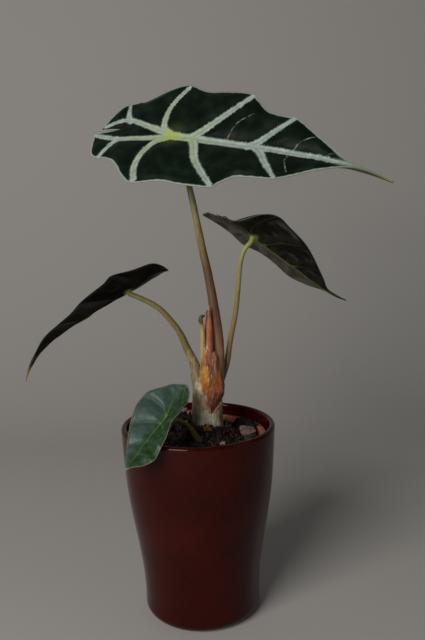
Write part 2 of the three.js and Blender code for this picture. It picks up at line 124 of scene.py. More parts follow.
# u runs along the midrib from the hub to the drip tip and v across it. left and right list the
# margin from the inner end of a basal lobe to the tip as (u, v, lift above the midrib's sheet).
LEAVES = {
    "tall_leaf": {
        "hub": (-13.6, -10.5, 402.1), "heading": -25.9, "slope": -10, "tilt": 47.6, "scale": 1.0,
        "back_bend": 0.0009, "front_bend": 0.0002, "tip_bend": 0.0075, "notch": -50,
        "left": [(-71, 0, -4), (-59, 24, 0), (-45, 31, 1), (-38, 34, 1), (-20, 46, 4), (-6, 52, 5),
                 (12, 47, 5), (31, 48, 6), (50, 48, 7), (59, 42, 6), (69, 34, 5), (81, 31, 5),
                 (94, 30, 5), (107, 23, 3), (123, 13, 2), (144, 3, 0), (176, 0.7, 0)],
        "right": [(-70, 7, 0), (-62, 29, -1), (-45, 32, 0), (-35, 36, 1), (-21, 48, 2), (-9, 54, 3),
                  (12, 48, 3), (29, 48, 3), (53, 46, 3), (59, 41, 3), (68, 33, 3), (79, 31, 3),
                  (95, 29, 3), (107, 23, 2), (125, 12, 2), (145, 3, 1), (176, 0.7, 0)],
    },
    "right_leaf": {
        "hub": (48.5, -6.5, 321.5), "heading": 26.9, "slope": -33.5, "tilt": -9.6, "scale": 0.62,
        "back_bend": 0.0035, "front_bend": 0.0005, "tip_bend": -0.008, "notch": -31,
        "left": [(-40, 4, 1), (-42, 15, 1), (-27, 20, 2), (-14, 28, 5), (-2, 32, 6), (10, 29, 3),
                 (30, 29, 6), (43, 21, 2), (58, 18, -1), (74, 10, -1), (88, 2, 0), (111, 0.6, 0)],
        "right": [(-41, 4, -1), (-38, 14, -4), (-28, 19, -3), (-15, 29, 8), (-4, 32, 12), (11, 29, 12),
                  (29, 29, 9), (45, 22, 8), (57, 18, 5), (73, 10, 3), (88, 2, 1), (111, 0.6, 0)],
    },
    "left_leaf": {
        "hub": (-53.6, -4.4, 279.6), "heading": 180.3, "slope": -26, "tilt": 12.6, "scale": 0.64,
        "back_bend": -0.0036, "front_bend": 0.0022, "tip_bend": 0.017, "notch": -32,
        "left": [(-37, 4, -2.2), (-36, 14, 1.5), (-30, 20, 7), (-15, 29, 9), (1, 34, 12), (11, 30, 10),
                 (31, 30, 7), (46, 21, 5), (60, 18, 4), (76, 11, 4), (94, 2, 2), (117, 0.6, 0)],
        "right": [(-37, 4, -1.6), (-36, 15, 2.6), (-29, 20, 4), (-14, 29, 6), (-3, 33, 6), (10, 30, 5),
                  (33, 30, 5), (45, 21, 2), (61, 18, 3), (76, 11, 2), (93, 2, 0), (117, 0.6, 0)],
    },
    "low_leaf": {
        "hub": (-24.1, -41.1, 183.7), "heading": 227.2, "slope": -29.1, "tilt": 14.6, "scale": 0.373,
        "back_bend": 0.0096, "front_bend": 0.0034, "tip_bend": 0, "notch": -19, "tip_power": 6,
        "left": [(-30, 0.4, 11), (-24, 9, 7), (-17, 12, 2), (-8, 17, 3), (-1, 19, 3), (7, 17, 2),
                 (19, 18, -2), (27, 13, -7), (36, 12, -9), (44, 7, -7), (51, 2, -1), (54, 0.6, 0)],
        "right": [(-30, 0.4, 11), (-24, 9, 15), (-17, 12, 17), (-8, 17, 20), (-1, 19, 19), (7, 18, 18),
                  (18, 17, 13), (27, 13, 10), (35, 11, 6), (44, 6, 3), (51, 2, 1), (54, 0.6, 0)],
    },
}
ROW_FAN = 0.4  # how much closer the rows of a blade lie at its notch
TIP_BEND_FROM = 0.51  # share of the way to the tip where its extra bend sets in
TIP_BEND_RUN = 0.34
MARGIN_REACH = 7  # within this of the margin the blade lies flatter
SWELL_REACH = 6.5  # within this of a vein the blade rises to its full swell
WARP = 0.5  # how far a blade wanders out of its smooth form
VEIN_GROOVE = 0.10  # depth of a vein's groove above, as a share of its half width
VEIN_RIDGE = 0.42  # height of its ridge below
TIP_SWELL = 0.9  # extra half thickness where the blade narrows to its drip tip

# The main veins of a blade of scale 1: points (u, v), half width at the start and at the end.
VEINS = [
    ([(-1, 0), (40, 0), (80, 0), (120, 0), (160, 0)], 3.1, 1.3),
    ([(-2, 2), (-10, 7), (-13, 21), (-11, 35), (-5, 49)], 2.1, 1.4),
    ([(15, 0), (20, 4), (36, 24), (53, 46)], 2.9, 1.3),
    ([(65, 0), (71, 4), (79, 14), (92, 29)], 2.7, 1.1),
    ([(-2, -2), (-12, -10), (-16, -25), (-15, -38), (-9, -50)], 2.2, 1.9),
    ([(17, 0), (22, -6), (29, -20), (39, -31), (52, -43)], 2.9, 1.5),
    ([(71, 0), (77, -5), (84, -14), (96, -27)], 2.7, 1.1),
    ([(-2, 1), (-23, 6), (-46, 11), (-66, 4)], 2.4, 1.4),
    ([(-43, 10), (-47, 14), (-52, 27)], 2.6, 0.6),
    ([(-2, -1), (-25, -7), (-48, -10), (-67, -9)], 2.3, 1.5),
    ([(-44, -10), (-49, -16), (-54, -32)], 1.9, 1.2),
]
FINE_VEINS = [
    ([(46, 2), (48, 12), (51, 20), (60, 28)], 0.32, 0.2),
    ([(100, 2), (103, 9), (112, 16)], 0.35, 0.2),
    ([(124, 1), (127, 5), (133, 7)], 0.3, 0.2),
    ([(98, -3), (98, -10), (103, -20)], 0.32, 0.2),
]

# ---- Stalks and scales, in millimetres ----------------------------------------------------------

# Stalks as (x, y, z, radius) from the stem up to just under each hub.
STALKS = {
    "tall_stalk": [(13.9, -2, 190.5, 6.2), (17, -1.7, 204, 5.6), (18.6, -1.3, 216.7, 4.9),
                   (18.4, -0.8, 237.1, 4.8), (15.8, -0.6, 264.2, 4.1), (11.9, -0.5, 290.9, 3.5),
                   (7.2, 0.4, 314.3, 3.2), (2.7, 0.6, 340.3, 2.8), (-1.1, -0.4, 360.8, 2.5),
                   (-6.5, -2.5, 382.2, 2.2)],
    "right_stalk": [(16.2, 8.7, 190.5, 3.4), (20.5, 8.5, 200.5, 3), (25.8, 5.7, 216.7, 2.6),
                    (28.6, 3.8, 234.3, 2.3), (33.1, -0.3, 256.9, 2.2), (35.8, -4.4, 279, 2.1),
                    (38.1, -8.5, 302.2, 2), (41.6, -9.8, 312.3, 1.9)],
    "left_stalk": [(3.9, 0.5, 190.5, 5.8), (1.4, -2.3, 206.1, 4.4), (-2.3, -3.8, 220, 3.5),
                   (-6.8, -5, 230.4, 3.2), (-12.6, -6.7, 244.8, 2.7), (-21.2, -7.3, 257.5, 2.4),
                   (-29.2, -6.7, 265.9, 2.3), (-38, -6.1, 271.5, 2.2), (-46, -5.6, 275.3, 2.1)],
    "low_stalk": [(2.2, -19.5, 154.3, 3), (0.3, -19.5, 158.2, 2.9), (-3, -23.1, 164.5, 2.5),
                  (-6.1, -26.4, 170, 2.1), (-9.1, -29.8, 174.5, 1.8), (-15.1, -35, 179.5, 1.6)],
    "cut_stalk": [(5.2, -8.3, 190.5, 2.1), (5.6, -9.6, 217.7, 2.2), (6, -10.6, 243.6, 2),
                  (5.4, -11.1, 252.6, 1.6), (4.8, -11.3, 255.6, 1.9), (5.1, -11.3, 258, 1.6),
                  (6.5, -11.1, 259.3, 1.2), (8, -10.9, 258.6, 0.8)],
}
LEAF_OF_STALK = {"tall_stalk": "tall_leaf", "right_stalk": "right_leaf", "left_stalk": "left_leaf",
                 "low_stalk": "low_leaf"}
STALK_KNEES = {"left_stalk": 1.4}  # how far under its blade a stalk turns up to it, otherwise 4

# Sheaths and scales hug the parts inside them. Each lobe lists, from the bottom up, the height, the
# x and y of its middle and its radius; a wrap follows the outline round all its lobes. foot and top
# are heights at even steps from the first angle of the span to the last one, and fray is how far
# they are torn. wrinkle is the height of its creases and flare how far its top stands off. Its spots
# lie on the ground colour: angle, height, half width, half height and colour.
AMBER_SHEATH = {
    "lobes": ([(184, 8.2, -0.2, 12.1), (190, 8.6, -1.6, 11), (197, 8, -5.2, 7.7), (206, 8.6, -8, 5.7),
               (214, 8.9, -8.8, 5.1), (224, 9.2, -9.3, 4.9), (231, 9.7, -9.6, 4.3), (238, 10.3, -9.9, 3.7)],
              [(184, 8.4, -0.2, 12.1), (190, 11.5, -1.1, 10.6), (197, 15.4, -1.9, 8.4),
               (206, 17.6, -1.7, 6.5), (214, 18.4, -1.4, 5.4), (224, 18.6, -1.2, 5.1), (236, 18.5, -1, 5)]),
    "span": (205, 352), "thickness": 0.35, "fray": (1.2, 1.0),
    "foot": (190, 191, 189, 190, 188, 187), "top": (233, 233, 230, 228.5, 229, 226, 220, 210),
    "wrinkle": 0.5, "flare": 0.0, "seed": 2.0, "ground": "#a2633c",
    "spots": [(250, 230, 9, 9, "#b86f54"), (222, 228, 3, 8, "#d09a58"), (230, 209, 5, 13, "#dc9a3c"),
              (242, 199, 5, 8, "#d07c2a"), (280, 207, 6, 10, "#c97f45"), (285, 224, 9, 12, "#cf9678"),
              # The thin near-white spots, #f0d9b8 and #ecd0a8, are painted highlights: glints of the glossy film.
              (245, 217, 0.5, 2, "#f0d9b8"), (250, 206, 0.5, 2.4, "#f0d9b8"), (262, 209, 0.4, 2.4, "#ecd0a8"),
              (252, 196, 0.5, 2, "#f0d9b8"), (318, 222, 6, 11, "#93695a"), (322, 202, 4.5, 8, "#c66f2a"),
              (345, 200, 3, 14, "#643619"), (300, 192, 7, 3.5, "#8d4a30"), (262, 192, 5, 4, "#bd7444")]}
PURPLE_SHEATH = {
    "lobes": ([(168, 8, 0, 12.3), (184, 8.2, -0.2, 11.8), (190, 8.8, -1.4, 10.6), (198, 8.4, -4, 7.4)],
              [(168, 8, 0, 12.3), (184, 8.4, -0.2, 11.8), (190, 11.3, -1, 10.1), (198, 15, -1.8, 7.8)]),
    "span": (250, 352), "thickness": 0.35, "fray": (0.4, 1.4),
    "foot": (176, 174, 173, 173, 174), "top": (194, 196, 197, 196, 193),
    "wrinkle": 0.3, "flare": 0.0, "seed": 8.0, "ground": "#8a4632",
    "spots": [(285, 183, 4, 4, "#7c3226"), (268, 186, 4, 4, "#b87250"), (325, 186, 4, 6, "#7d4f30")]}
SALMON_SCALE = {
    "lobes": ([(184, 9.8, -7.4, 4.6), (206, 9, -8.2, 4.5), (218, 8.6, -8.9, 4.5), (227, 9.3, -9.3, 4.2),
               (235, 10.7, -7.6, 3.2), (247.5, 11, -6.4, 2.8), (257, 11.2, -6.6, 1.8),
               (266, 11.9, -7.4, 0.7)],),
    "span": (170, 352), "thickness": 0.5, "fray": (0.5, 1.2),
    "foot": (200, 200, 200, 200), "top": (262, 266, 267, 265),
    "wrinkle": 0.2, "flare": 0.0, "seed": 6.0, "ground": "#c27b50",
    "spots": [(190, 224, 3, 12, "#d99b45"), (215, 216, 3, 10, "#d58d50"), (300, 232, 2, 14, "#b86a48"),
              (240, 256, 4, 7, "#a8644a"), (250, 264, 3, 3, "#d9ae7c"), (200, 246, 2, 10, "#cfa070")]}
# The torn thread at the top of the salmon scale, as (x, y, z, radius).
SALMON_SHRED = [(11.4, -7.9, 264, 0.5), (9.6, -9, 262.2, 0.4), (8.4, -10.4, 259.8, 0.45),
                (7.4, -11.2, 258.2, 0.3)]
# The clasping sheath is the flared foot of the left stalk: height, x, y and radius. It opens in
# front between two angles at each height.
CLASP_AXIS = [(150, 8, 0, 13.4), (160, 7.8, 0, 13.5), (170, 7.9, 0, 13.1), (178, 8.2, 0, 13),
              (184, 8.4, -0.2, 12.8), (190, 7.6, -1.6, 11.7), (197, 5.2, -3.6, 8.8), (206, 1.7, -4.9, 6.2),
              (213, -0.2, -4.6, 4.9), (219, -1.8, -4.2, 4.2), (225, -4.1, -4.4, 3.7), (231, -6.9, -5, 3.3),
              (236, -9, -5.6, 2.6)]
CLASP_OPENING = [(150, 287, 287), (177, 287, 287), (179, 284, 293), (181.6, 281, 308), (186.6, 277.5, 350),
                 (192.5, 278, 395), (197, 280, 400), (206, 305, 402), (212, 345, 404), (217, 404, 404),
                 (240, 404, 404)]

CLASP_SPOTS = [
    (200, 214, 12, 19, "#86744a"), (262, 215, 12, 14, "#8b744b"), (235, 193, 6, 9, "#cdbb94"),
    (262, 190, 3, 6, "#e3c2a0"), (255, 174, 18, 8, "#e6e8cf"), (320, 178, 8, 8, "#d0c9a4"),
    (285, 167, 9, 4, "#e6e6cf"), (205, 162, 10, 5, "#a5712f"), (350, 175, 6, 12, "#8d7f58"),
    (190, 234, 26, 17, "#938350"), (330, 234, 26, 17, "#938350")]
CLASP_FROM = 60  # degrees, behind the opening
CLASP_LIP = 0.3  # height of the lip along the opening
CLASP_DEPTH = 0.26  # how much deeper the sheath lies where it is open, as a share of its radius
FLAKE_RADIUS = 13.9
FLAKE_THICKNESS = 0.4

# Loose bits on the mix: x, y, then length, width, height, turn and tip of a bark chip, and the size
# of a pumice stone.
BARK_CHIPS = [(42.5, 6, 15, 10, 4, 18, 38), (24, 37, 12, 7, 4, -20, 6), (-26, 20, 10, 7, 4, 60, 8),
              (44.5, -7, 13, 6, 4, 48, 8), (-30, -8, 9, 6, 4, 15, 4)]
GRIT = [(20, -22, 4.6), (-14, 46, 6), (-8, 44.5, 5.5), (-21, 41, 5), (-9, 27, 4.2), (27, 24, 4.5)]

# ---- The camera and the studio, in millimetres and degrees ---------------------------------------

CAMERA_PLACE = (14.4, -588.8, 353.2)
CAMERA_PITCH = 9.57
CAMERA_ROLL = -1.42
CAMERA_FOCAL_PIXELS = 720
IMAGE_LONG_SIDE_PIXELS = 640
SENSOR_MM = 36

SWEEP_REACH = 2600  # to the front and to both sides of the floor, and up the backdrop
SWEEP_BACK = 420  # where the floor begins to curve up
SWEEP_BEND = 500
# The soft lights: place, target, width and height in metres, and colour.
LIGHTS = {"key": ((-0.8, -1.2, 0.9), (0, 0, 0.24), (0.9, 0.8), (1.0, 0.98, 0.95)),
          "fill": ((1.3, -0.5, 0.7), (0, 0, 0.2), (0.8, 1.2), (0.93, 0.96, 1.0))}


# ---- Numbers and curves -------------------------------------------------------------------------

def linear(colour):
    """The linear red, green, blue and alpha of an sRGB hex colour."""
    parts = [int(colour[i:i + 2], 16) / 255 for i in (1, 3, 5)]
    return (*(c / 12.92 if c <= 0.04045 else ((c + 0.055) / 1.055) ** 2.4 for c in parts), 1.0)


def smooth(low, high, values):
    """0 below low, 1 above high and a soft step between, where high may be the lower one."""
    share = np.clip((np.asarray(values, float) - low) / (high - low), 0, 1)
    return share * share * (3 - 2 * share)


def spline(points, t):
    """The Catmull-Rom curve through points, at each t from 0 to 1."""
    points = np.asarray(points, float)
    last = len(points) - 1
    place = np.clip(t, 0, 1) * last
    first = np.minimum(np.floor(place).astype(int), last - 1)
    share = (place - first)[..., None]
    before, after = points[np.maximum(first - 1, 0)], points[np.minimum(first + 2, last)]
    start, end = points[first], points[first + 1]
    slope_in, slope_out = (end - before) / 2, (after - start) / 2
    cubic = 2 * start - 2 * end + slope_in + slope_out
    square = -3 * start + 3 * end - 2 * slope_in - slope_out
    return ((cubic * share + square) * share + slope_in) * share + start


def lumps(points, size, octaves=3, shift=0.0):
    """Random heights from about -1 to 1 at points in mm, with lumps about size mm across."""
    offset = Vector((shift, 1.7 * shift, 0.6 * shift))
    flat = np.reshape(points, (-1, 3))
    heights = [noise.fractal(Vector(p) / size + offset, 1.0, 2.0, octaves) for p in flat]
    return np.reshape(heights, np.shape(points)[:-1])


def unit(vectors):
    """The vectors at length 1."""
    return vectors / np.maximum(np.linalg.norm(vectors, axis=-1, keepdims=True), 1e-9)


# ---- Meshes -------------------------------------------------------------------------------------

def grid_quads(index):
    """Faces over a grid of vertex numbers, facing along rows x columns."""
    corners = (index[:-1, :-1], index[1:, :-1], index[1:, 1:], index[:-1, 1:])
    return np.stack([c.ravel() for c in corners], 1)


def sheet_solid(front, back):
    """Points and faces of a thin solid between two grids. The front's faces come first."""
    rows, columns = front.shape[:2]
    index = np.arange(rows * columns).reshape(rows, columns)
    under = index + rows * columns
    loop = np.concatenate([index[:, 0], index[-1, 1:], index[-2::-1, -1], index[0, -2:0:-1]])
    ahead = np.roll(loop, -1)
    side = np.stack([loop, loop + rows * columns, ahead + rows * columns, ahead], 1)
    faces = np.concatenate([grid_quads(index), grid_quads(under)[:, ::-1], side])
    return np.concatenate([front.reshape(-1, 3), back.reshape(-1, 3)]), faces.tolist()


def wrapped_index(rings):
    """The vertex numbers of closed rings, with the first column again at the end."""
    index = np.arange(rings.shape[0] * rings.shape[1]).reshape(rings.shape[:2])
    return np.concatenate([index, index[:, :1]], 1)


def ring_solid(rings):
    """Points and faces of a solid through closed rings, anticlockwise seen from the last one."""
    wrapped = wrapped_index(rings)
    walls = grid_quads(wrapped)[:, ::-1].tolist()
    first = wrapped.max() + 1
    last = first + 1
    foot = [(first, b, a) for a, b in zip(wrapped[0, :-1], wrapped[0, 1:])]
    top = [(last, a, b) for a, b in zip(wrapped[-1, :-1], wrapped[-1, 1:])]
    centres = np.stack([rings[0].mean(0), rings[-1].mean(0)])
    return np.concatenate([rings.reshape(-1, 3), centres]), walls + foot + top


def ring_angles(sides):
    """The angles of the corners round a ring, in radians."""
    return np.arange(sides) * 2 * math.pi / sides


def turned_rings(profile, sides, x=0.0, y=0.0):
    """Rings of a profile of (radius, height) turned about an upright axis."""
    angle = ring_angles(sides)
    profile = np.asarray(profile, float)
    radius, height = profile[:, :1], profile[:, 1:]
    level = np.broadcast_to(height, (len(profile), sides))
    return np.stack([x + radius * np.cos(angle), y + radius * np.sin(angle), level], -1)


def arc(centre, middle, radius, start, end, steps):
    """Points of a rounding about (centre, middle), from start to end degrees."""
    angles = np.radians(np.linspace(start, end, steps + 1))
    return [(centre + radius * math.cos(a), middle + radius * math.sin(a)) for a in angles]


def make_mesh(name, points, faces):
    """A smooth mesh from points in mm."""
    mesh = bpy.data.meshes.new(name)
    mesh.from_pydata((np.asarray(points) * MM).tolist(), [], faces)
    mesh.shade_smooth()
    mesh.update()
    return mesh


def merge_solids(solids):
    """Joins several (points, faces) into one."""
    points, faces, start = [], [], 0
    for some_points, some_faces in solids:
        points.append(some_points)
        faces += [[start + corner for corner in face] for face in some_faces]
        start += len(some_points)
    return np.concatenate(points), faces


def store(mesh, name, values):
    """Keeps one number for each vertex, for the mesh's material to read."""
    layer = mesh.attributes.new(name, "FLOAT", "POINT")
    layer.data.foreach_set("value", np.asarray(values, np.float32))


def store_uv(mesh, flat):
    """Keeps a flat place for each vertex as the mesh's UV map."""
    corners = np.zeros(len(mesh.loops), np.int32)
    mesh.loops.foreach_get("vertex_index", corners)
    mesh.uv_layers.new(name="flat").data.foreach_set("uv", flat[corners].astype(np.float32).ravel())


def new_object(name, data):
    """An object with this data, in the scene."""
    made = bpy.data.objects.new(name, data)
    bpy.context.scene.collection.objects.link(made)
    return made


def new_piece(name, mesh, materials, nodes=()):
    """Puts a finished mesh in the scene, on the one body, for the CAD nodes it stands for."""
    piece = new_object(name, mesh)
    for material in materials:
        mesh.materials.append(material)
    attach(piece, BODY)
    if nodes:
        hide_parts(*nodes)
    return piece


# ---- Node trees ---------------------------------------------------------------------------------

def add(tree, kind, inputs=(), **settings):
    """Adds a node. settings are its properties; inputs gives each input a value or a link."""
    node = tree.nodes.new(kind)
    for name, value in settings.items():
        setattr(node, name, value)
    for socket, value in dict(inputs).items():
        if isinstance(value, bpy.types.NodeSocket):
            tree.links.new(value, node.inputs[socket])
        else:
            node.inputs[socket].default_value = value
    return node


def new_material(name, **constants):
    """An empty surface material. constants are set on its shader, with _ for a space."""
    material = bpy.data.materials.new(name)
    material.use_nodes = True
    tree = material.node_tree
    shader = tree.nodes["Principled BSDF"]
    for socket, value in constants.items():
        shader.inputs[socket.replace("_", " ")].default_value = value
    return material, tree, shader


def set_stops(ramp, stops):
    """Gives a colour ramp its stops, (place, sRGB hex), and returns its colour."""
    elements = ramp.color_ramp.elements
    while len(elements) < len(stops):
        elements.new(0.5)
    for element, (place, colour) in zip(elements, stops):
        element.position = place
        element.color = linear(colour)
    return ramp.outputs["Color"]


def pattern(tree, size_mm, vector=None, detail=4.0, stretch=(1, 1, 1), rough=0.5):
    """Random values in patches about size_mm across, on Object coordinates or on vector."""
    if vector is None:
        vector = add(tree, "ShaderNodeTexCoord").outputs["Object"]
    scaled = add(tree, "ShaderNodeMapping", {"Vector": vector, "Scale": stretch})
    spots = add(tree, "ShaderNodeTexNoise", {"Vector": scaled.outputs[0], "Scale": 1 / (size_mm * MM),
                                             "Detail": detail, "Roughness": rough})
    return spots.outputs["Fac"]


def patches(tree, size_mm, stops, **spread):
    """A pattern with colours: the colour that the stops give it, and its values."""
    spots = pattern(tree, size_mm, **spread)
    return set_stops(add(tree, "ShaderNodeValToRGB", {"Fac": spots}), stops), spots


def mask(tree, *terms):
    """How far all the terms hold at a place: their product. A term is a value, or a tuple that makes
    one softly step: the value, its low and its high end and, if not 0 and 1, what it gives there."""
    share = None
    for term in terms:
        if isinstance(term, tuple):
            stepped = add(tree, "ShaderNodeMapRange", dict(enumerate(term)), interpolation_type="SMOOTHSTEP")
            term = stepped.outputs[0]
        if share is None:
            share = term
        else:
            share = add(tree, "ShaderNodeMath", {0: share, 1: term}, operation="MULTIPLY").outputs[0]
    return share


def lay_over(tree, below, above, *terms):
    """Lays the colour above over the colour below, as far as the terms of its mask hold."""
    share = mask(tree, *terms)
    return add(tree, "ShaderNodeMix", {0: share, 6: below, 7: above}, data_type="RGBA").outputs[2]


def finish(tree, shader, colour, sheen, relief=()):
    """Gives a shader its colour, its roughness as a term of a mask, and its relief from layers of
    (height, depth in mm)."""
    below = {}
    for height, depth in relief:
        inputs = {"Height": height, "Distance": depth * MM, "Strength": 1.0, **below}
        bump = add(tree, "ShaderNodeBump", inputs)
        below = {"Normal": bump.outputs[0]}
    for socket, value in {"Base Color": colour, "Roughness": mask(tree, sheen), **below}.items():
        tree.links.new(value, shader.inputs[socket])


# ---- Materials ----------------------------------------------------------------------------------

def glaze_material(look):
    """Earthenware under a fired gloss glaze: deep burgundy where it lies thick, and a wet shine with
    the faint waviness that glaze has. The flat foot is wiped clean and shows dull clay."""
    material, tree, shader = new_material("Earthenware, burgundy gloss glaze", IOR=1.28)
    place = add(tree, "ShaderNodeTexCoord").outputs["Object"]
    height = add(tree, "ShaderNodeSeparateXYZ", {0: place}).outputs["Z"]
    pooled, cloud = patches(tree, 45, [(0.3, "#270502"), (0.52, "#350704"), (0.75, "#450d06")])
    grain, dust = patches(tree, 1.1, [(0.36, "#2c0603"), (0.7, "#491007")], detail=3)
    clay, _ = patches(tree, 2.5, [(0.3, "#8a6a52"), (0.7, "#a8866a")])
    glaze = lay_over(tree, pooled, grain, 0.35)
    tinted = add(tree, "ShaderNodeMix", {0: 1.0, 6: glaze, 7: (*look.glaze_tint, 1.0)},
                 data_type="RGBA", blend_type="MULTIPLY").outputs[2]
    bare = mask(tree, (height, 1.1 * MM, 0.5 * MM))
    shine = mask(tree, (dust, 0.3, 0.8, 0.08, 0.16))
    rough = add(tree, "ShaderNodeMath", {0: shine, 1: mask(tree, bare, 0.85)}, operation="MAXIMUM").outputs[0]
    finish(tree, shader, lay_over(tree, tinted, clay, bare), rough, [(cloud, 0.5), (dust, 0.012)])
    return material


def grow_pot_material():
    """Injection-moulded polypropylene, terracotta coloured: a satin skin with fine moulding grain,
    soiled in places."""
    material, tree, shader = new_material("Polypropylene, moulded terracotta", Subsurface_Weight=0.05)
    shade, spots = patches(tree, 9, [(0.3, "#96503c"), (0.7, "#b4684f")])
    soiled, dirt = patches(tree, 3.2, [(0.5, "#96503c"), (0.66, "#3a2219")], detail=6)
    colour = lay_over(tree, shade, soiled, (dirt, 0.56, 0.68), 0.7)
    finish(tree, shader, colour, (spots, 0.3, 0.7, 0.32, 0.5), [(dirt, 0.05)])
    return material


def mix_material(name, dark, mid, light, size_mm):
    """Moist peat and composted bark: nearly black crumbs, a few brown ones, all dull and broken."""
    material, tree, shader = new_material(name, IOR=1.36)
    colour, spots = patches(tree, size_mm, [(0.35, dark), (0.55, mid), (0.72, light)], detail=6, rough=0.65)
    fine = pattern(tree, 0.5, detail=5)
    finish(tree, shader, colour, (spots, 0.3, 0.75, 0.32, 0.8), [(spots, 0.5), (fine, 0.15)])
    return material


def vein_cover(tree, share, spike_mm, grain_mm):
    """How much the pale vein bands cover a place, with the feathered edge that they have, and the
    distance from the vein's middle as a share of its half width. share narrows the bands."""
    offset, width, along = (add(tree, "ShaderNodeAttribute", attribute_name=label).outputs["Fac"]
                            for label in ("vein_mm", "half_mm", "along_mm"))
    half = mask(tree, width, share)
    row = add(tree, "ShaderNodeCombineXYZ", {0: along, 1: mask(tree, offset, 0.2), 2: width}).outputs[0]
    teeth = add(tree, "ShaderNodeTexNoise", {"Vector": row, "Scale": 1.5, "Detail": 3.0, "Roughness": 0.6})
    spikes = mask(tree, (teeth.outputs["Fac"], 0.4, 0.75, 0.0, spike_mm))
    grain = pattern(tree, 1.11, add(tree, "ShaderNodeUVMap", uv_map="flat").outputs[0], detail=3)
    ragged = add(tree, "ShaderNodeMath", {0: grain, 1: grain_mm, 2: -grain_mm / 2}, operation="MULTIPLY_ADD")
    torn = add(tree, "ShaderNodeMath", {0: spikes, 1: ragged.outputs[0]}, operation="ADD")
    inside = add(tree, "ShaderNodeMath", {0: half, 1: offset}, operation="SUBTRACT")
    edge = add(tree, "ShaderNodeMath", {0: inside.outputs[0], 1: torn.outputs[0]}, operation="ADD")
    middle = add(tree, "ShaderNodeMath", {0: offset, 1: half}, operation="DIVIDE")
    return mask(tree, (edge.outputs[0], -0.7, 1.0)), middle.outputs[0]


def blade_upper_material(name, look, stops, cell_mm, painted_bluish_sheen, vein_shade, vein, band, margin, hub, rough):
    """The upper skin of a leaf blade: waxy, with a soft sheen, dark cells between pale vein bands
    that feather into the blade, a yellow-green hub and a thin pale margin. The argument after
    cell_mm is the share of a painted bluish sheen, a painted reflection of the light, on the half
    right of the midrib. band holds the share of the veins' width that is
    pale, and how strong it is along the midrib and away from it."""
    material, tree, shader = new_material(name, IOR=1.3, Coat_Weight=look.wax, Coat_Roughness=0.28)
    flat = add(tree, "ShaderNodeUVMap", uv_map="flat").outputs[0]
    across = add(tree, "ShaderNodeSeparateXYZ", {0: flat}).outputs["Y"]
    off_midrib = add(tree, "ShaderNodeMath", {0: across}, operation="ABSOLUTE").outputs[0]
    fine, edge, reach, out = (add(tree, "ShaderNodeAttribute", attribute_name=label).outputs["Fac"]
                              for label in ("fine_mm", "edge_mm", "hub_mm", "tip"))
    cells, cloud = patches(tree, cell_mm, stops, vector=flat, detail=5)
    pale, _ = patches(tree, 5, [(0.3, vein_shade), (0.7, vein)], vector=flat)
    grit = pattern(tree, 3.85, flat)
    cover, middle = vein_cover(tree, band[0], 1.5, 0.8)
    strength = mask(tree, (off_midrib, 2 * MM, 6 * MM, *band[1:]))
    # Painted sheen: a bluish painted reflection of the light over the half right of the midrib.
    colour = lay_over(tree, cells, linear("#66797e"), (across, 1 * MM, -14 * MM, 0.0, painted_bluish_sheen))
    colour = lay_over(tree, colour, linear(vein), (fine, 0.75, 0.2, 0.0, 0.4), (grit, 0.35, 0.55))
    colour = lay_over(tree, colour, pale, cover, strength)
    colour = lay_over(tree, colour, linear(look.groove_hex), (middle, 0.5, 0.1, 0.0, 0.42), strength)
    tinted = add(tree, "ShaderNodeMath", {0: cover, 1: 0.1}, operation="MAXIMUM").outputs[0]
    near = mask(tree, (reach, 15, 2, 0.0, 0.9), tinted)
    far = mask(tree, (reach, 65, 12, 0.0, 0.25), cover)
    core = add(tree, "ShaderNodeMath", {0: near, 1: far}, operation="MAXIMUM").outputs[0]
    colour = lay_over(tree, colour, linear(hub), core)
    border = add(tree, "ShaderNodeMath", {0: grit, 1: 1.6, 2: edge}, operation="MULTIPLY_ADD").outputs[0]
    colour = lay_over(tree, colour, linear(margin), (border, 2.7, 1.6, 0.0, 0.75))
    colour = lay_over(tree, colour, linear(look.tip_hex), (out, 0.74, 0.84, 0.0, 0.85))
    colour = lay_over(tree, colour, linear("#b19a68"), (out, 0.9, 1.0))
    finish(tree, shader, colour, (cloud, 0.3, 0.7, rough, rough + 0.14), [(cloud, 0.35), (grit, 0.08)])
    return material


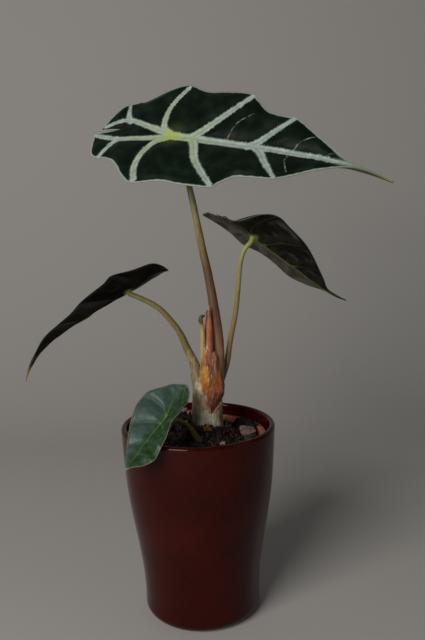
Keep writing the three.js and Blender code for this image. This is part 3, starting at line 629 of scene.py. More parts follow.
def blade_under_material(name, stops, painted_lit_half, vein, vein_strength, tip_hex, painted_sheen, gloss):
    """The underside of a leaf blade: duller than the top, brownish olive, with raised veins a little
    lighter than the cells and a greener strip along the midrib. Two kinds of painted light lie over
    it: grey painted sheen, painted highlights on the crests of the quilting whose share is the
    argument after tip_hex, and a painted lighter half, a colour with its share given after the
    stops, on the half left of the midrib."""
    material, tree, shader = new_material(name, IOR=1.28, Specular_IOR_Level=gloss)
    flat = add(tree, "ShaderNodeUVMap", uv_map="flat").outputs[0]
    across = add(tree, "ShaderNodeSeparateXYZ", {0: flat}).outputs["Y"]
    off_midrib = add(tree, "ShaderNodeMath", {0: across}, operation="ABSOLUTE").outputs[0]
    crest, edge, reach, out = (add(tree, "ShaderNodeAttribute", attribute_name=label).outputs["Fac"]
                               for label in ("crest", "edge_mm", "hub_mm", "tip"))
    cells, cloud = patches(tree, 11, stops, vector=flat, detail=5)
    mottled, spots = patches(tree, 2.2, [(0.35, "#0f0d09"), (0.65, "#2b281e")], vector=flat)
    turned = add(tree, "ShaderNodeMapping", {"Vector": flat, "Rotation": (0, 0, -0.9), "Scale": (0.3, 1, 1)})
    sheen_streaks = pattern(tree, 10.5, turned.outputs[0], detail=2)
    cover, _ = vein_cover(tree, 0.4, 0.3, 0.5)
    strength = mask(tree, (off_midrib, 2.5 * MM, 6 * MM, vein_strength, 0.16 * vein_strength))
    colour = lay_over(tree, cells, mottled, 0.25)
    # Painted light: the half left of the midrib takes this colour for the light that it catches.
    shade, painted_lit_share = painted_lit_half
    colour = lay_over(tree, colour, linear(shade), (across, -1.5 * MM, 1.5 * MM, 0.0, painted_lit_share))
    # Painted sheen: grey painted highlights in streaks on the crests of the quilting.
    colour = lay_over(tree, colour, linear("#6c6c6c"), (crest, 0.35, 0.95), (sheen_streaks, 0.46, 0.74, 0.0, painted_sheen))
    colour = lay_over(tree, colour, linear("#2c3a1b"), (off_midrib, 13 * MM, 2 * MM, 0.0, 0.5),
                      (cloud, 0.4, 0.6))
    colour = lay_over(tree, colour, linear(vein), cover, strength)
    colour = lay_over(tree, colour, linear("#a3a45a"), (reach, 9, 1.5, 0.0, 0.9))
    colour = lay_over(tree, colour, linear("#5d5c42"), (edge, 1.0, 0.2, 0.0, 0.5))
    colour = lay_over(tree, colour, linear(tip_hex), (out, 0.86, 0.99))
    finish(tree, shader, colour, (cloud, 0.3, 0.7, 0.3, 0.44), [(cloud, 0.5), (spots, 0.12)])
    return material


def stalk_material(name, stops, blotch, blotch_share, speck):
    """The skin of a fleshy leaf stalk: waxy and a little translucent, changing colour from stem to
    blade, with long blotches and fine dark specks."""
    material, tree, shader = new_material(
        name, IOR=1.42, Subsurface_Weight=0.12, Subsurface_Scale=0.002, Coat_Weight=0.12, Coat_Roughness=0.25)
    along = add(tree, "ShaderNodeAttribute", attribute_name="along").outputs["Fac"]
    streak = pattern(tree, 3.4, stretch=(1, 1, 0.22), detail=5)
    dots = pattern(tree, 0.9, stretch=(1, 1, 0.6), detail=2)
    lines = pattern(tree, 0.5, stretch=(1, 1, 0.04), detail=2)
    ground = set_stops(add(tree, "ShaderNodeValToRGB", {"Fac": along}), stops)
    colour = lay_over(tree, ground, linear(blotch), (streak, 0.46, 0.66, 0.0, blotch_share))
    colour = lay_over(tree, colour, linear(speck), (dots, 0.62, 0.7, 0.0, 0.65))
    colour = lay_over(tree, colour, linear("#e3d9b4"), (lines, 0.5, 0.75, 0.0, 0.14))
    finish(tree, shader, colour, (streak, 0.3, 0.7, 0.38, 0.54), [(lines, 0.1), (streak, 0.15)])
    return material


def stem_material():
    """Old sheath tissue on the stem: pale and fibrous, with fine lengthwise lines, going brown and
    corky towards the mix."""
    material, tree, shader = new_material(
        "Old sheath tissue, pale and fibrous", IOR=1.4, Subsurface_Weight=0.1, Subsurface_Scale=0.002,
        Coat_Weight=0.1, Coat_Roughness=0.2)
    along = add(tree, "ShaderNodeAttribute", attribute_name="along").outputs["Fac"]
    wander = pattern(tree, 7)
    lines = pattern(tree, 0.75, stretch=(1, 1, 0.07), detail=3)
    specks = pattern(tree, 1.3, stretch=(1, 1, 0.5), detail=6)
    shift = add(tree, "ShaderNodeMath", {0: wander, 1: 0.36, 2: -0.18}, operation="MULTIPLY_ADD").outputs[0]
    level = add(tree, "ShaderNodeMath", {0: along, 1: shift}, operation="ADD").outputs[0]
    ground = set_stops(add(tree, "ShaderNodeValToRGB", {"Fac": level}),
                       [(0.0, "#3d2917"), (0.22, "#5f4527"), (0.36, "#96855f"), (0.52, "#b4ab8c"),
                        (0.8, "#b9a988")])
    colour = lay_over(tree, ground, linear("#ded6ba"), (lines, 0.4, 0.68, 0.0, 0.45))
    colour = lay_over(tree, colour, linear("#4b3320"), (specks, 0.6, 0.72, 0.0, 0.5))
    finish(tree, shader, colour, (specks, 0.35, 0.7, 0.36, 0.62),
           [(wander, 0.5), (lines, 0.22), (specks, 0.1)])
    return material


def husk_material(name, streak_hex, streak_share, gloss, rough, torn_share, speck_share):
    """A sheath or husk: thin skin with its own patchy colours, streaked along its fibres. Where it is
    glossy it shines like varnished paper, and its torn edge is light."""
    material, tree, shader = new_material(name, IOR=1.46, Subsurface_Weight=0.12, Subsurface_Scale=0.002,
                                          Coat_Weight=gloss, Coat_Roughness=0.12)
    tone = add(tree, "ShaderNodeAttribute", attribute_name="tone").outputs["Color"]
    border = add(tree, "ShaderNodeAttribute", attribute_name="border").outputs["Fac"]
    cloud = pattern(tree, 4, stretch=(1, 1, 0.4), detail=5)
    lines = pattern(tree, 0.7, stretch=(1, 1, 0.1), detail=4)
    specks = pattern(tree, 1.2, stretch=(1, 1, 0.6), detail=6)
    dark = add(tree, "ShaderNodeMix", {0: 1.0, 6: tone, 7: linear("#b89c86")},
               data_type="RGBA", blend_type="MULTIPLY").outputs[2]
    torn = add(tree, "ShaderNodeMath", {0: lines, 1: 0.04, 2: border}, operation="MULTIPLY_ADD").outputs[0]
    colour = lay_over(tree, tone, dark, (cloud, 0.42, 0.62, 0.0, 0.6))
    colour = lay_over(tree, colour, linear(streak_hex), (lines, 0.46, 0.7, 0.0, streak_share))
    colour = lay_over(tree, colour, linear("#5a4226"), (specks, 0.56, 0.7, 0.0, speck_share))
    colour = lay_over(tree, colour, linear("#d8bf98"), (torn, 0.055, 0.02, 0.0, torn_share))
    finish(tree, shader, colour, (cloud, 0.3, 0.7, rough, rough + 0.2), [(cloud, 1.0), (lines, 0.3)])
    return material


def bark_material(name, stops, grain_mm):
    """Composted conifer bark: corky layers, matt, with darker cracks along the grain."""
    material, tree, shader = new_material(name)
    layered, layers = patches(tree, grain_mm, stops, stretch=(0.5, 1, 1.6), detail=7, rough=0.65)
    cracks = pattern(tree, 1.0, stretch=(0.4, 1, 1), detail=5)
    colour = lay_over(tree, layered, linear("#1d130e"), (cracks, 0.42, 0.3, 0.0, 0.8))
    finish(tree, shader, colour, (layers, 0.3, 0.7, 0.7, 0.92), [(layers, 0.7), (cracks, 0.3)])
    return material


def pumice_material():
    """Broken pumice: pale grey-beige, matt and full of pores, with some peat dust on it."""
    material, tree, shader = new_material("Pumice, broken")
    colour, spots = patches(tree, 1.4, [(0.32, "#4a4038"), (0.5, "#98897a"), (0.7, "#b7ab9c")], detail=6)
    place = add(tree, "ShaderNodeTexCoord").outputs["Object"]
    pores = add(tree, "ShaderNodeTexVoronoi", {"Vector": place, "Scale": 1 / (0.7 * MM)}).outputs["Distance"]
    finish(tree, shader, colour, (spots, 0.3, 0.7, 0.75, 0.95), [(pores, 0.3), (spots, 0.3)])
    return material


def stage_material(paper):
    """Smooth matt studio paper: an even pale tone with a barely visible tooth."""
    material, tree, shader = new_material("Studio paper, matt", Specular_IOR_Level=0.25)
    tooth = pattern(tree, 10 / 3, detail=3)
    shaded = (*[0.8 * part for part in paper], 1.0)
    colour = lay_over(tree, (*paper, 1.0), shaded, (tooth, 0.2, 0.8, 0.0, 0.06))
    finish(tree, shader, colour, (tooth, 0.2, 0.8, 0.75, 0.85))
    return material


# ---- Settings that a user can change ------------------------------------------------------------

def colour_property(name, description, default):
    """A colour setting with an sRGB hex default."""
    return bpy.props.FloatVectorProperty(name=name, description=description, default=linear(default)[:3],
                                         subtype="COLOR", size=3, min=0, max=1)


class AlocasiaPots(bpy.types.PropertyGroup):
    glaze_tint: bpy.props.FloatVectorProperty(
        name="Glaze tint", description="Multiplies the burgundy of the glaze", default=(1.0, 1.0, 1.0),
        subtype="COLOR", size=3, min=0, max=2)
    pot_sides: bpy.props.IntProperty(
        name="Pot sides", description="Facets round the cover pot", default=192, min=48, max=360)
    crumb_size: bpy.props.FloatProperty(
        name="Crumb size", description="Radius of a peat crumb", default=0.00095, unit="LENGTH",
        subtype="DISTANCE")
    crumb_density: bpy.props.FloatProperty(
        name="Crumb density", description="Peat crumbs on a square metre of mix", default=640000.0)
    seed: bpy.props.IntProperty(name="Seed", description="Start of every random scatter", default=7)


class AlocasiaLeaves(bpy.types.PropertyGroup):
    thickness: bpy.props.FloatProperty(
        name="Blade thickness", description="Thickness of a blade between its veins", default=0.0006,
        unit="LENGTH", subtype="DISTANCE")
    quilting: bpy.props.FloatProperty(
        name="Quilting", description="How far the full-size blade swells between its veins",
        default=0.0016, unit="LENGTH", subtype="DISTANCE")
    wax: bpy.props.FloatProperty(
        name="Wax", description="Strength of the waxy coat on the upper side", default=0.08, min=0, max=1)
    vein_hex: bpy.props.StringProperty(
        name="Vein colour", description="sRGB hex colour of the vein bands", default="#c6d3cc")
    vein_shade: bpy.props.StringProperty(
        name="Vein shade", description="sRGB hex colour of the darker parts of a band", default="#9aada2")
    groove_hex: bpy.props.StringProperty(
        name="Vein groove colour", description="sRGB hex colour of the sunk line along a vein",
        default="#6f8874")
    tip_hex: bpy.props.StringProperty(
        name="Drip tip colour", description="sRGB hex colour of the drip tip", default="#8d9880")


class AlocasiaStudio(bpy.types.PropertyGroup):
    paper: colour_property("Paper", "Colour of the floor and the backdrop", "#c5c2be")
    key_power: bpy.props.FloatProperty(
        name="Key light", description="Power of the large soft light on the left", default=17.0,
        unit="POWER")
    fill_power: bpy.props.FloatProperty(
        name="Fill light", description="Power of the soft light on the right", default=0.7, unit="POWER")
    sky: bpy.props.FloatProperty(
        name="Room light", description="Strength of the even light from all round", default=0.05)


# ---- Pots and mix -------------------------------------------------------------------------------

def pot_profile():
    """The cover pot's outline, from the middle of its foot up the outside and down the inside."""
    side = spline(POT_SIDE, np.linspace(0, 1, 57))
    outer = [tuple(p) for p in side[1:-1]]
    inner = [(r - POT_WALL, h) for r, h in side[:-1][::-1] if h > SHELF_HEIGHT + 4]
    foot_radius, rim_radius, rim_start = POT_SIDE[0][0], POT_SIDE[-1][0], POT_SIDE[-1][1]
    shelf_wall = inner[-1][0] - 0.6
    return [
        (0.01, 0), (20, 0), (foot_radius - FOOT_ROUND - 0.6, 0),
        *arc(foot_radius - FOOT_ROUND, FOOT_ROUND, FOOT_ROUND, -90, 0, 14), *outer,
        *arc(rim_radius - RIM_ROUND, rim_start, RIM_ROUND, 0, 180, 16), *inner,
        (shelf_wall, SHELF_HEIGHT + 0.6), (shelf_wall - 0.8, SHELF_HEIGHT),
        (SHELF_RADIUS + 0.8, SHELF_HEIGHT), (SHELF_RADIUS, SHELF_HEIGHT - 0.8),
        (SHELF_RADIUS - 1.6, FLOOR_THICKNESS + 4),
        (SHELF_RADIUS - 5, FLOOR_THICKNESS), (0.01, FLOOR_THICKNESS),
    ]


class ALOCASIA_OT_cover_pot(bpy.types.Operator):
    """Build the glazed cover pot"""
    bl_idname = "alocasia.cover_pot"
    bl_label = "Cover pot"

    def execute(self, context):
        look = context.scene.alocasia_pots
        rings = turned_rings(pot_profile(), look.pot_sides)
        mesh = make_mesh("cover_pot", *ring_solid(rings))
        new_piece("cover_pot", mesh, [glaze_material(look)], ["pot"])
        return {"FINISHED"}


def grow_pot_profile():
    """The grow pot's outline, from the middle of its foot up the outside and down the inside."""
    lip_foot = GROW_TOP - GROW_LIP_HEIGHT
    inside = GROW_NECK_RADIUS - GROW_WALL
    return [
        (0.01, GROW_FOOT), (GROW_FOOT_RADIUS - 1.5, GROW_FOOT),
        *arc(GROW_FOOT_RADIUS - 1.5, GROW_FOOT + 1.5, 1.5, -80, 0, 4),
        (GROW_NECK_RADIUS - 0.4, lip_foot - 3), (GROW_NECK_RADIUS, lip_foot - 0.4),
        *arc(GROW_LIP_RADIUS - 1, lip_foot + 1.2, 1, -90, 0, 4),
        *arc(GROW_LIP_RADIUS - 1, GROW_TOP - 1, 1, 0, 90, 5),
        *arc(inside + 0.9, GROW_TOP - 0.9, 0.9, 90, 180, 5),
        (inside - 0.1, GROW_TOP - 3), (GROW_FOOT_RADIUS - GROW_WALL, GROW_FOOT + GROW_FLOOR + 1),
        (GROW_FOOT_RADIUS - GROW_WALL - 1, GROW_FOOT + GROW_FLOOR), (0.01, GROW_FOOT + GROW_FLOOR),
    ]


def drain_cutter():
    """The drills for the holes in the grow pot's floor, as one object."""
    walls = [(DRAIN_RADIUS, GROW_FOOT - 3), (DRAIN_RADIUS, GROW_FOOT + 5)]
    drills = []
    for angle in ring_angles(DRAIN_HOLES):
        place = (DRAIN_CIRCLE * math.cos(angle), DRAIN_CIRCLE * math.sin(angle))
        drills.append(ring_solid(turned_rings(walls, DRAIN_SIDES, *place)))
    return new_object("drills", make_mesh("drills", *merge_solids(drills)))


def settled_mesh(piece, name):
    """The plain mesh of an object as its modifiers leave it."""
    graph = bpy.context.evaluated_depsgraph_get()
    mesh = bpy.data.meshes.new_from_object(piece.evaluated_get(graph))
    mesh.name = name
    return mesh


class ALOCASIA_OT_grow_pot(bpy.types.Operator):
    """Build the plastic grow pot with its drain holes"""
    bl_idname = "alocasia.grow_pot"
    bl_label = "Grow pot"

    def execute(self, context):
        solid = ring_solid(turned_rings(grow_pot_profile(), GROW_SIDES))
        shell = new_object("shell", make_mesh("shell", *solid))
        cutter = drain_cutter()
        cut = shell.modifiers.new("drain holes", "BOOLEAN")
        cut.object = cutter
        cut.operation = "DIFFERENCE"
        cut.solver = "EXACT"
        mesh = settled_mesh(shell, "plastic_grow_pot")
        bpy.data.objects.remove(shell)
        bpy.data.objects.remove(cutter)
        mesh.shade_smooth()
        new_piece("plastic_grow_pot", mesh, [grow_pot_material()], ["grow_pot"])
        return {"FINISHED"}


def mix_height(x, y):
    """The smooth height of the mix at a place, as in the part."""
    mound = SOIL_MOUND * np.exp(-((x - STEM_X) ** 2 + y ** 2) / SOIL_MOUND_REACH ** 2)
    away = (x - SOIL_BANK_PLACE[0]) ** 2 + (y - SOIL_BANK_PLACE[1]) ** 2
    return SOIL_LEVEL + mound + SOIL_BANK * np.exp(-away / SOIL_BANK_REACH ** 2)


def mix_top_rings(rings=64, sides=224):
    """Rings over the top of the mix, from the grow pot's wall in to the stem."""
    angle = ring_angles(sides)
    share = np.linspace(0, 1, rings)[:, None]
    radius = MIX_RADIUS + (CORM_CLEAR - MIX_RADIUS) * share
    x = STEM_X * share + radius * np.cos(angle)
    y = radius * np.sin(angle)
    places = np.stack([x, y, np.zeros_like(x)], -1)
    clods = CLOD_HEIGHT * lumps(places, CLOD_SIZE, 2) + CRUMB_HEIGHT * lumps(places, CRUMB_SIZE, 3, 5.0)
    edge = smooth(0, 0.05, share) * smooth(1, 0.95, share)
    from_stem = np.hypot(x - STEM_X, y)
    run = 6 + 4 * smooth(0, 12, x - STEM_X)
    collar = COLLAR_RISE * np.exp(-((from_stem - CORM_CLEAR) / run) ** 2)
    heaps = sum(rise * np.exp(-((x - at_x) ** 2 + (y - at_y) ** 2) / square)
                for at_x, at_y, rise, square in MIX_HEAPS)
    return np.stack([x, y, mix_height(x, y) - MIX_SINK + collar + heaps + clods * edge], -1)


def mix_rings(top):
    """All rings of the mix: floor, side, top and the pocket for the corm."""
    sides = top.shape[1]
    slope = (GROW_NECK_RADIUS - GROW_FOOT_RADIUS) / (GROW_TOP - GROW_FOOT)
    foot_radius = GROW_FOOT_RADIUS - GROW_WALL - 0.5
    heights = np.linspace(SOIL_FOOT + 0.3, SOIL_LEVEL - 3, 10)
    side = [(foot_radius + slope * (h - SOIL_FOOT), h) for h in heights]
    outside = turned_rings([(foot_radius - 2, SOIL_FOOT), *side], sides)
    pocket = turned_rings([(CORM_CLEAR, CORM_FOOT + 24), (CORM_CLEAR + 0.4, CORM_FOOT + 17),
                           (14, CORM_FOOT + 10), (9.5, CORM_FOOT + 1)],
                          sides, STEM_X)
    return np.concatenate([outside, top, pocket])


def mix_spill(rows=36, columns=90):
    """Mix that lies over the lip of the grow pot at the right and hides a part of it."""
    across, along = np.linspace(0, 1, rows)[:, None], np.linspace(0, 1, columns)[None, :]
    radius = SPILL_RADIUS + SPILL_WIDTH * across + 0 * along
    angle = np.radians(SPILL_START + SPILL_SPAN * along + 0 * across)
    x, y = radius * np.cos(angle), radius * np.sin(angle)
    places = np.stack([x, y, np.zeros_like(x)], -1)
    border = np.minimum(np.minimum(across, 1 - across) * 2, np.minimum(along, 1 - along) * 6)
    bulk = smooth(0, 0.6, border + 0.25 * lumps(places, 4, 2, 7.0))
    height = GROW_TOP - SPILL_SINK + bulk * (SPILL_RISE + CLOD_HEIGHT * lumps(places, 3.2, 3, 2.0))
    top = np.stack([x, y, height], -1)
    return sheet_solid(top, top - np.array([0, 0, SPILL_THICKNESS]))


def scatter_tree(name, material, squash):
    """A node group that strews lumpy grains over a surface and joins them to one mesh."""
    tree = bpy.data.node_groups.new(name, "GeometryNodeTree")
    sockets = [("Surface", "NodeSocketGeometry"), ("Density", "NodeSocketFloat"),
               ("Grain size", "NodeSocketFloat"), ("Spread", "NodeSocketFloat"), ("Seed", "NodeSocketInt")]
    for label, kind in sockets:
        tree.interface.new_socket(label, in_out="INPUT", socket_type=kind)
    tree.interface.new_socket("Grains", in_out="OUTPUT", socket_type="NodeSocketGeometry")
    given = add(tree, "NodeGroupInput").outputs
    points = add(tree, "GeometryNodeDistributePointsOnFaces",
                 {"Mesh": given["Surface"], "Density": given["Density"], "Seed": given["Seed"]})
    grain = add(tree, "GeometryNodeMeshIcoSphere", {"Radius": given["Grain size"], "Subdivisions": 1})
    turn = add(tree, "FunctionNodeRandomValue", {1: (6.28, 6.28, 6.28), "Seed": given["Seed"]},
               data_type="FLOAT_VECTOR")
    low, high = (add(tree, "ShaderNodeMath", {0: 1.0, 1: given["Spread"]}, operation=sign).outputs[0]
                 for sign in ("SUBTRACT", "ADD"))
    size = add(tree, "FunctionNodeRandomValue", {2: low, 3: high, "Seed": given["Seed"]}, data_type="FLOAT")
    form = add(tree, "ShaderNodeVectorMath", {0: squash, "Scale": size.outputs[1]}, operation="SCALE")
    placed = add(tree, "GeometryNodeInstanceOnPoints",
                 {"Points": points.outputs["Points"], "Instance": grain.outputs["Mesh"],
                  "Rotation": turn.outputs[0], "Scale": form.outputs[0]})
    real = add(tree, "GeometryNodeRealizeInstances", {0: placed.outputs[0]})
    spots = add(tree, "ShaderNodeTexNoise", {"Scale": GRAIN_LUMPS, "Detail": 1.0})
    middle = add(tree, "ShaderNodeVectorMath", {0: spots.outputs["Color"], 1: (0.5, 0.5, 0.5)},
                 operation="SUBTRACT")
    reach = add(tree, "ShaderNodeMath", {0: given["Grain size"], 1: 1.6}, operation="MULTIPLY")
    shove = add(tree, "ShaderNodeVectorMath", {0: middle.outputs[0], "Scale": reach.outputs[0]},
                operation="SCALE")
    bent = add(tree, "GeometryNodeSetPosition", {"Geometry": real.outputs[0], "Offset": shove.outputs[0]})
    dressed = add(tree, "GeometryNodeSetMaterial", {"Geometry": bent.outputs[0], "Material": material})
    add(tree, "NodeGroupOutput", {0: dressed.outputs[0]})
    return tree


def scatter_grains(name, surface, material, density, size, spread, seed, squash):
    """Strews grains over a surface mesh and keeps them as one plain piece. density is in grains on a
    square metre and size in metres; squash is a grain's form."""
    holder = new_object(name + "_holder", surface)
    tree = scatter_tree(name, material, squash)
    modifier = holder.modifiers.new("scatter", "NODES")
    modifier.node_group = tree
    values = {"Density": density, "Grain size": size, "Spread": spread, "Seed": seed}
    for item in tree.interface.items_tree:
        if item.in_out == "INPUT" and item.name in values:
            modifier[item.identifier] = values[item.name]
    mesh = settled_mesh(holder, name)
    bpy.data.objects.remove(holder)
    mesh.materials.clear()
    new_piece(name, mesh, [material])


def open_surface(name, rings):
    """An open mesh over closed rings, facing up."""
    return make_mesh(name, rings.reshape(-1, 3), grid_quads(wrapped_index(rings))[:, ::-1].tolist())


class ALOCASIA_OT_potting_mix(bpy.types.Operator):
    """Build the potting mix and strew its crumbs, bark shreds and grit"""
    bl_idname = "alocasia.potting_mix"
    bl_label = "Potting mix"

    def execute(self, context):
        look = context.scene.alocasia_pots
        top = mix_top_rings()
        peat = mix_material("Peat and composted bark, moist", "#040303", "#0a0705", "#20150d", 2.2)
        mesh = make_mesh("potting_mix", *merge_solids([ring_solid(mix_rings(top)), mix_spill()]))
        new_piece("potting_mix", mesh, [peat], ["soil"])
        crumb = mix_material("Peat crumbs, moist", "#050303", "#0e0906", "#4a331e", 3.0)
        shred = bark_material("Bark shreds, composted", [(0.3, "#1c120c"), (0.55, "#3d2818"),
                                                         (0.8, "#6b4c33")], 2.0)
        surface = open_surface("mix_top", top[2:-2])
        grains = [
            ("peat_crumbs", crumb, look.crumb_density, look.crumb_size, 0.55, (1.15, 1.0, 0.8)),
            ("bark_shreds", shred, 52000.0, 0.0011, 0.5, (3.2, 0.8, 0.55)),
            ("pale_specks", pumice_material(), 30000.0, 0.00055, 0.5, (1.1, 1, 0.9)),
        ]
        for i, (name, material, density, size, spread, squash) in enumerate(grains):
            scatter_grains(name, surface, material, density, size, spread, look.seed + i, squash)
        return {"FINISHED"}


# ---- Loose bits ---------------------------------------------------------------------------------

def lump_solid(size, wedge, boxiness, seed, roughness, place, turn, tip):
    """A broken, slightly boxy lump of size (length, width, height) in mm, turned and placed. wedge
    narrows one end and boxiness goes from 0, round, to 1."""
    ball = bmesh.new()
    bmesh.ops.create_icosphere(ball, subdivisions=5, radius=1.0)
    directions = np.array([v.co[:] for v in ball.verts])
    faces = [[v.index for v in f.verts] for f in ball.faces]
    ball.free()
    boxy = directions / np.max(np.abs(directions), axis=1, keepdims=True)
    form = (1 - boxiness) * directions + 0.86 * boxiness * boxy
    form[:, 1] *= 1 - wedge * form[:, 0]
    form[:, 2] *= 1 - 0.35 * form[:, 0] * form[:, 1]
    points = form * np.array(size) / 2
    points += directions * roughness * lumps(points, 3.4, 3, seed)[:, None]
    points += directions * 0.35 * roughness * lumps(points, 1.1, 3, seed + 9)[:, None]
    turning = Euler((math.radians(tip), 0, math.radians(turn))).to_matrix()
    return points @ np.array(turning).T + np.array(place), faces


class ALOCASIA_OT_loose_bits(bpy.types.Operator):
    """Build the bark chips and the pumice that lie on the mix"""
    bl_idname = "alocasia.loose_bits"
    bl_label = "Bark chips and pumice"

    def execute(self, context):
        pale = bark_material("Pine bark, pinkish inner face", [(0.3, "#4c352c"), (0.55, "#83665a"),
                                                               (0.75, "#b89d90")], 3.5)
        dark = bark_material("Pine bark, dark", [(0.3, "#17100c"), (0.6, "#3a291d"), (0.8, "#5a4433")], 3.0)
        finishes = [pale, pale, dark, dark, dark]
        for i, (x, y, length, width, height, turn, tip) in enumerate(BARK_CHIPS):
            lean = math.radians(tip)
            depth = math.hypot(height * math.cos(lean), width * math.sin(lean)) / 2
            place = (x, y, mix_height(x, y) + depth + 0.2)
            solid = lump_solid((length, width, height), 0.42, 0.8, 3.0 + i, 0.4, place, turn, tip)
            mesh = make_mesh(f"bark_{i + 1}", *solid)
            new_piece(f"bark_{i + 1}", mesh, [finishes[i]], [f"bark_chip_{i + 1}"])
        stone = pumice_material()
        for i, (x, y, size) in enumerate(GRIT):
            place = (x, y, mix_height(x, y) + 0.42 * size)
            solid = lump_solid((1.15 * size, size, 0.85 * size), 0.1, 0.55, 20.0 + i, 0.5, place, 40 * i, 0)
            mesh = make_mesh(f"stone_{i + 1}", *solid)
            new_piece(f"stone_{i + 1}", mesh, [stone], [f"pumice_{i + 1}"])
        return {"FINISHED"}


# ---- Leaves -------------------------------------------------------------------------------------

def leaf_axes(leaf):
    """The blade's axes: along the midrib, to its left, and out of its upper face."""
    turning = (Euler((0, 0, math.radians(leaf["heading"]))).to_matrix()
               @ Euler((0, -math.radians(leaf["slope"]), 0)).to_matrix()
               @ Euler((math.radians(leaf["tilt"]), 0, 0)).to_matrix())
    return np.array(turning)


def midrib_bend(leaf):
    """Tables of the bent midrib: u, the way along, the height and the angle."""
    tip = leaf["left"][-1][0]
    u = np.linspace(-80, tip + 2, 1200)
    bend = np.where(u > 0, leaf["front_bend"], leaf["back_bend"])
    bend = bend + leaf["tip_bend"] * np.clip((u / tip - TIP_BEND_FROM) / TIP_BEND_RUN, 0, 1)
    step = u[1] - u[0]
    hub = np.searchsorted(u, 0)
    angle = np.cumsum(bend) * step
    angle = angle - angle[hub]
    along, height = np.cumsum(np.cos(angle)) * step, -np.cumsum(np.sin(angle)) * step
    return u, along - along[hub], height - height[hub], angle


def nearest_vein(places, veins, scale):
    """For each flat place: the signed distance to the nearest vein, half the vein's width there and
    the way along it, all in mm."""
    best = np.full(len(places), np.inf)
    offset, half, along = np.zeros(len(places)), np.zeros(len(places)), np.zeros(len(places))
    for number, (points, first, last) in enumerate(veins):
        path = spline(np.array(points, float) * scale, np.linspace(0, 1, 25))
        lengths = np.concatenate([[0], np.cumsum(np.linalg.norm(np.diff(path, axis=0), axis=1))])
        for start, end, begun, ended in zip(path[:-1], path[1:], lengths[:-1], lengths[1:]):
            step = end - start
            share = np.clip((places - start) @ step / (step @ step), 0, 1)
            gap = places - start - share[:, None] * step
            distance = np.hypot(gap[:, 0], gap[:, 1])
            way = begun + share * (ended - begun)
            width = scale * (first + (last - first) * way / lengths[-1])
            closer = distance - width < best
            best = np.where(closer, distance - width, best)
            side = np.sign(step[0] * gap[:, 1] - step[1] * gap[:, 0])
            offset = np.where(closer, distance * side, offset)
            half = np.where(closer, width, half)
            along = np.where(closer, way + 37 * number, along)
    return offset, half, along


def blade_grid(leaf, rows, columns):
    """The flat blade: u, v and lift of a grid, and the distance to the margin, all in mm."""
    t = np.linspace(0, 1, rows + 1)
    across = np.linspace(-1, 1, 2 * columns + 1)[None, :]
    tip = leaf["left"][-1][0]
    start = leaf["notch"] + (tip - leaf["notch"]) * (t * t + ROW_FAN * t * (1 - t) ** 2)
    margin = {side: spline(leaf[side], t) for side in ("left", "right")}
    on_left = across > 0
    edge_u = np.where(on_left, margin["left"][:, :1], margin["right"][:, :1])
    edge_v = np.where(on_left, margin["left"][:, 1:2], margin["right"][:, 1:2])
    lift = np.where(on_left, margin["left"][:, 2:], margin["right"][:, 2:]) * np.abs(across)
    u = start[:, None] + (edge_u - start[:, None]) * np.abs(across)
    v = edge_v * across
    run_u, run_v = np.gradient(edge_u, axis=0), np.gradient(edge_v, axis=0)
    length = np.maximum(np.hypot(run_u, run_v), 1e-6)
    spread = np.abs((edge_u - start[:, None]) * run_v - edge_v * run_u) / length
    edge = (1 - np.abs(across)) * spread
    first = np.hypot(u - u[:1], v - v[:1])
    return u, v, lift, np.minimum(edge, first)


def blade_mesh(name, leaf, rows, columns, thickness, quilting):
    """A leaf blade as a thin solid with raised veins under it and the blade swelling between them,
    and the number of the material that each face has."""
    u, v, lift, edge = blade_grid(leaf, rows, columns)
    scale = leaf["scale"]
    places = np.stack([u.ravel(), v.ravel()], 1)
    offset, half, along = nearest_vein(places, VEINS, scale)
    fine, _, _ = nearest_vein(places, FINE_VEINS, scale)
    shape = u.shape
    distance = np.abs(offset).reshape(shape)
    width = np.maximum(half.reshape(shape), 0.3)
    inside = smooth(0, MARGIN_REACH * scale, edge)
    swell = 1 - np.exp(-(np.maximum(distance - width, 0) / (SWELL_REACH * scale)) ** 2)
    lift = lift + quilting * scale * swell * inside
    flat3 = np.stack([u, v, np.zeros_like(u)], -1)
    lift = lift + WARP * scale * inside * lumps(flat3 / scale, 16, 2, 3.0)
    table_u, table_along, table_height, table_angle = midrib_bend(leaf)
    angle = np.interp(u, table_u, table_angle)
    x = np.interp(u, table_u, table_along) + np.sin(angle) * lift
    z = np.interp(u, table_u, table_height) + np.cos(angle) * lift
    middle = np.stack([x, v, z], -1) @ leaf_axes(leaf).T + np.array(leaf["hub"])
    normal = unit(np.cross(np.gradient(middle, axis=0), np.gradient(middle, axis=1)))
    bump = np.exp(-(distance / (0.62 * width)) ** 2) * smooth(0, 2.5 * scale, edge)
    thin = (0.55 + 0.45 * smooth(0, 1.5 * scale, edge)) * thickness / 2
    share = u / leaf["left"][-1][0]
    thin = thin + TIP_SWELL * scale * smooth(0.76, 0.86, share) * (1 - 0.75 * smooth(0.88, 1, share))
    groove = VEIN_GROOVE * width * bump
    ridge = VEIN_RIDGE * width * bump
    front = middle + normal * (thin - groove)[..., None]
    back = middle - normal * (thin + ridge)[..., None]
    mesh = make_mesh(name, *sheet_solid(front, back))
    tip = np.clip(share, 0, 1) ** leaf.get("tip_power", 1)
    numbers = {"vein_mm": np.abs(offset) / scale, "half_mm": half / scale, "along_mm": along / scale,
               "fine_mm": np.abs(fine) / scale, "edge_mm": edge.ravel() / scale,
               "hub_mm": np.hypot(u, v).ravel() / scale, "tip": tip.ravel(),
               "crest": (swell * inside).ravel()}
    for label, values in numbers.items():
        store(mesh, label, np.tile(values, 2))
    store_uv(mesh, np.tile(places * MM / scale, (2, 1)))
    upper_faces = rows * 2 * columns
    sides = np.ones(len(mesh.polygons), np.int32)
    sides[:upper_faces] = 0
    return mesh, sides


